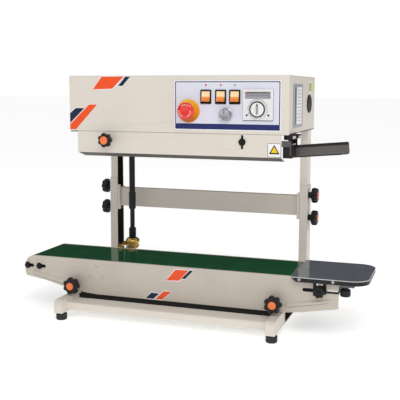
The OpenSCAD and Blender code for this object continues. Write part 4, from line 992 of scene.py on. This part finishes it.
def guide_fittings():
    """The dark hanger and its screws, the chute's carrier, strip and lip, and painted shade behind the clamp nut's
    slot.
    """
    hanger = join(slab(rectangle(20, 66, 2, 276, 45), 451, 462.8, GROUND),
                  slab(rectangle(12, 30, 1.5, 287, 62), 454, 462.8, GROUND),
                  slab(rectangle(22, 3, 1, 275, 71.5), 424, 455, GROUND))
    piece("guide_hanger", hanger, "black_and_painted_shade", "head", bevel=0.8)
    carrier = slab(rectangle(22, 44, 2, 276, 30), 409, 438, GROUND)
    piece("guide_carrier", carrier, "skirt_black", "guide", bevel=0.8)
    for i, y in enumerate((22, 38, 54, 70)):
        pan_screw(f"hanger_screw_{i}", at(286 if y < 50 else 293, y, 456.5), RIGHT, 8.5, "head")
    rise = math.radians(5)
    along = Vector((math.cos(rise), 0, math.sin(rise)))
    normal = Vector((-math.sin(rise), 0, math.cos(rise)))
    lean = Matrix((along, Vector(BACK), normal)).transposed().to_4x4()
    seat = Matrix.Translation(at(283, 60, 408)) @ lean
    hook = ((-6.6, 22.6), (-6.25, 22.6), (-6.2, 27.9), (6.2, 27.9), (6.2, 28.6), (-6.6, 28.6))
    strip = loft([[(x, y, z) for y, z in hook] for x in (1.0, 126.8)], seat)
    piece("chute_strip", strip, "skirt_black", "guide", bevel=0.15)
    bead = ((-6.5, -0.3), (-5.8, -0.5), (-5.8, 2.2), (-6.5, 2.0))
    lip = loft([[(x, y, z) for y, z in bead] for x in (1, 112)], seat)
    piece("chute_lip", lip, "black_plastic", "guide", bevel=0.2)
    hex_bolt("guide_nut", at(170, -0.65, 444.5), FRONT, 8.2, "guide", "black_steel")
    # Painted shade: a dark sheet behind the cover's slot
    backing = slab(rectangle(24, 37, 1, 170, 443.5), -5.6, -4.9, FRONT_FACE)
    piece("cover_slot_shade", backing, "black_and_painted_shade", "head")


for build in (clamp_knobs, lower_feed_knob, stop_button, stop_base, rockers, bezels, speed_knob,
              controller, dial, belt, feed_plate_trim, pressed_ribs, conveyor_hardware, feet, painted_shade_sheets,
              head_prints, conveyor_prints, panel_prints, side_labels, cover_label, seams, vent,
              inlet_details, rear_louvres, casing_screws, guide_fittings):
    build()


# ---- Studio ----

SKY_LEAN = -0.45  # tips the bright part of the sky towards the front
SKY_BAND = (-0.25, 0.95)
SKY_GLOW = (0.02, 0.66)


def studio():
    """A glowing near-white floor, and a sky that is white to the camera but softer on the machine."""
    floor_mesh = bpy.data.meshes.new("studio_floor")
    reach = 60
    floor_mesh.from_pydata(
        [(-reach, -reach, 0), (reach, -reach, 0), (reach, reach, 0), (-reach, reach, 0)], [], [(0, 1, 2, 3)])
    floor = bpy.data.objects.new("studio_floor", floor_mesh)
    bpy.context.scene.collection.objects.link(floor)
    floor_mesh.materials.append(finish("floor_sweep", (0.90, 0.90, 0.90), 0.75, 40, 0.00001, spread=0.004,
                                       specular=0.1, glow=0.57))

    world = bpy.data.worlds.new("studio")
    bpy.context.scene.world = world
    world.use_nodes = True
    nodes, links = world.node_tree.nodes, world.node_tree.links
    background = nodes["Background"]
    coordinate = nodes.new("ShaderNodeTexCoord")
    split = nodes.new("ShaderNodeSeparateXYZ")
    links.new(coordinate.outputs["Generated"], split.inputs["Vector"])
    lean = nodes.new("ShaderNodeMath")
    lean.operation = "MULTIPLY_ADD"
    lean.inputs[1].default_value = SKY_LEAN
    links.new(split.outputs["Y"], lean.inputs[0])
    links.new(split.outputs["Z"], lean.inputs[2])
    height = nodes.new("ShaderNodeMapRange")
    height.interpolation_type = "SMOOTHSTEP"
    for name, value in zip(("From Min", "From Max", "To Min", "To Max"), (*SKY_BAND, *SKY_GLOW)):
        height.inputs[name].default_value = value
    links.new(lean.outputs["Value"], height.inputs["Value"])
    ray = nodes.new("ShaderNodeLightPath")
    seen = nodes.new("ShaderNodeMix")
    seen.inputs["B"].default_value = 1.0
    links.new(ray.outputs["Is Camera Ray"], seen.inputs["Factor"])
    links.new(height.outputs["Result"], seen.inputs["A"])
    links.new(seen.outputs["Result"], background.inputs["Strength"])
    background.inputs["Color"].default_value = (1, 1, 1, 1)


def area_light(name, place, target, size, power):
    data = bpy.data.lights.new(name, "AREA")
    data.shape = "RECTANGLE"
    data.size, data.size_y = size
    data.energy = power
    light = bpy.data.objects.new(name, data)
    light.location = place
    light.rotation_mode = "QUATERNION"
    light.rotation_quaternion = (Vector(target) - Vector(place)).to_track_quat("-Z", "Y")
    bpy.context.scene.collection.objects.link(light)


EYE = (658.4, -1713.6, 562.7)  # fitted to the photograph's edges
YAW, PITCH, ROLL = 18.76, 7.21, 0.19


def camera():
    """The photograph's view: a long lens from the right of the front, a little above the head."""
    yaw, pitch, roll = (math.radians(angle) for angle in (YAW, PITCH, ROLL))
    data = bpy.data.cameras.new("view")
    data.sensor_width = 36
    data.lens = 68.77
    data.shift_x, data.shift_y = -0.0097, -0.0310
    data.clip_end = 200
    obj = bpy.data.objects.new("view", data)
    obj.location = at(*EYE)
    obj.rotation_mode = "QUATERNION"
    forward = Vector((-math.sin(yaw) * math.cos(pitch), math.cos(yaw) * math.cos(pitch), -math.sin(pitch)))
    turn = Matrix.Rotation(-roll, 4, forward)
    obj.rotation_quaternion = (turn @ forward.to_track_quat("-Z", "Y").to_matrix().to_4x4()).to_quaternion()
    bpy.context.scene.collection.objects.link(obj)
    bpy.context.scene.camera = obj


studio()
MACHINE_MIDDLE = (0, 0, 0.35)
area_light("key", (1.1, -2.3, 2.6), MACHINE_MIDDLE, (1.6, 1.6), 31)
area_light("side", (2.6, -0.6, 1.4), MACHINE_MIDDLE, (1.2, 1.6), 9)
camera()
bpy.context.scene.view_settings.view_transform = "Standard"
bpy.context.view_layer.update()
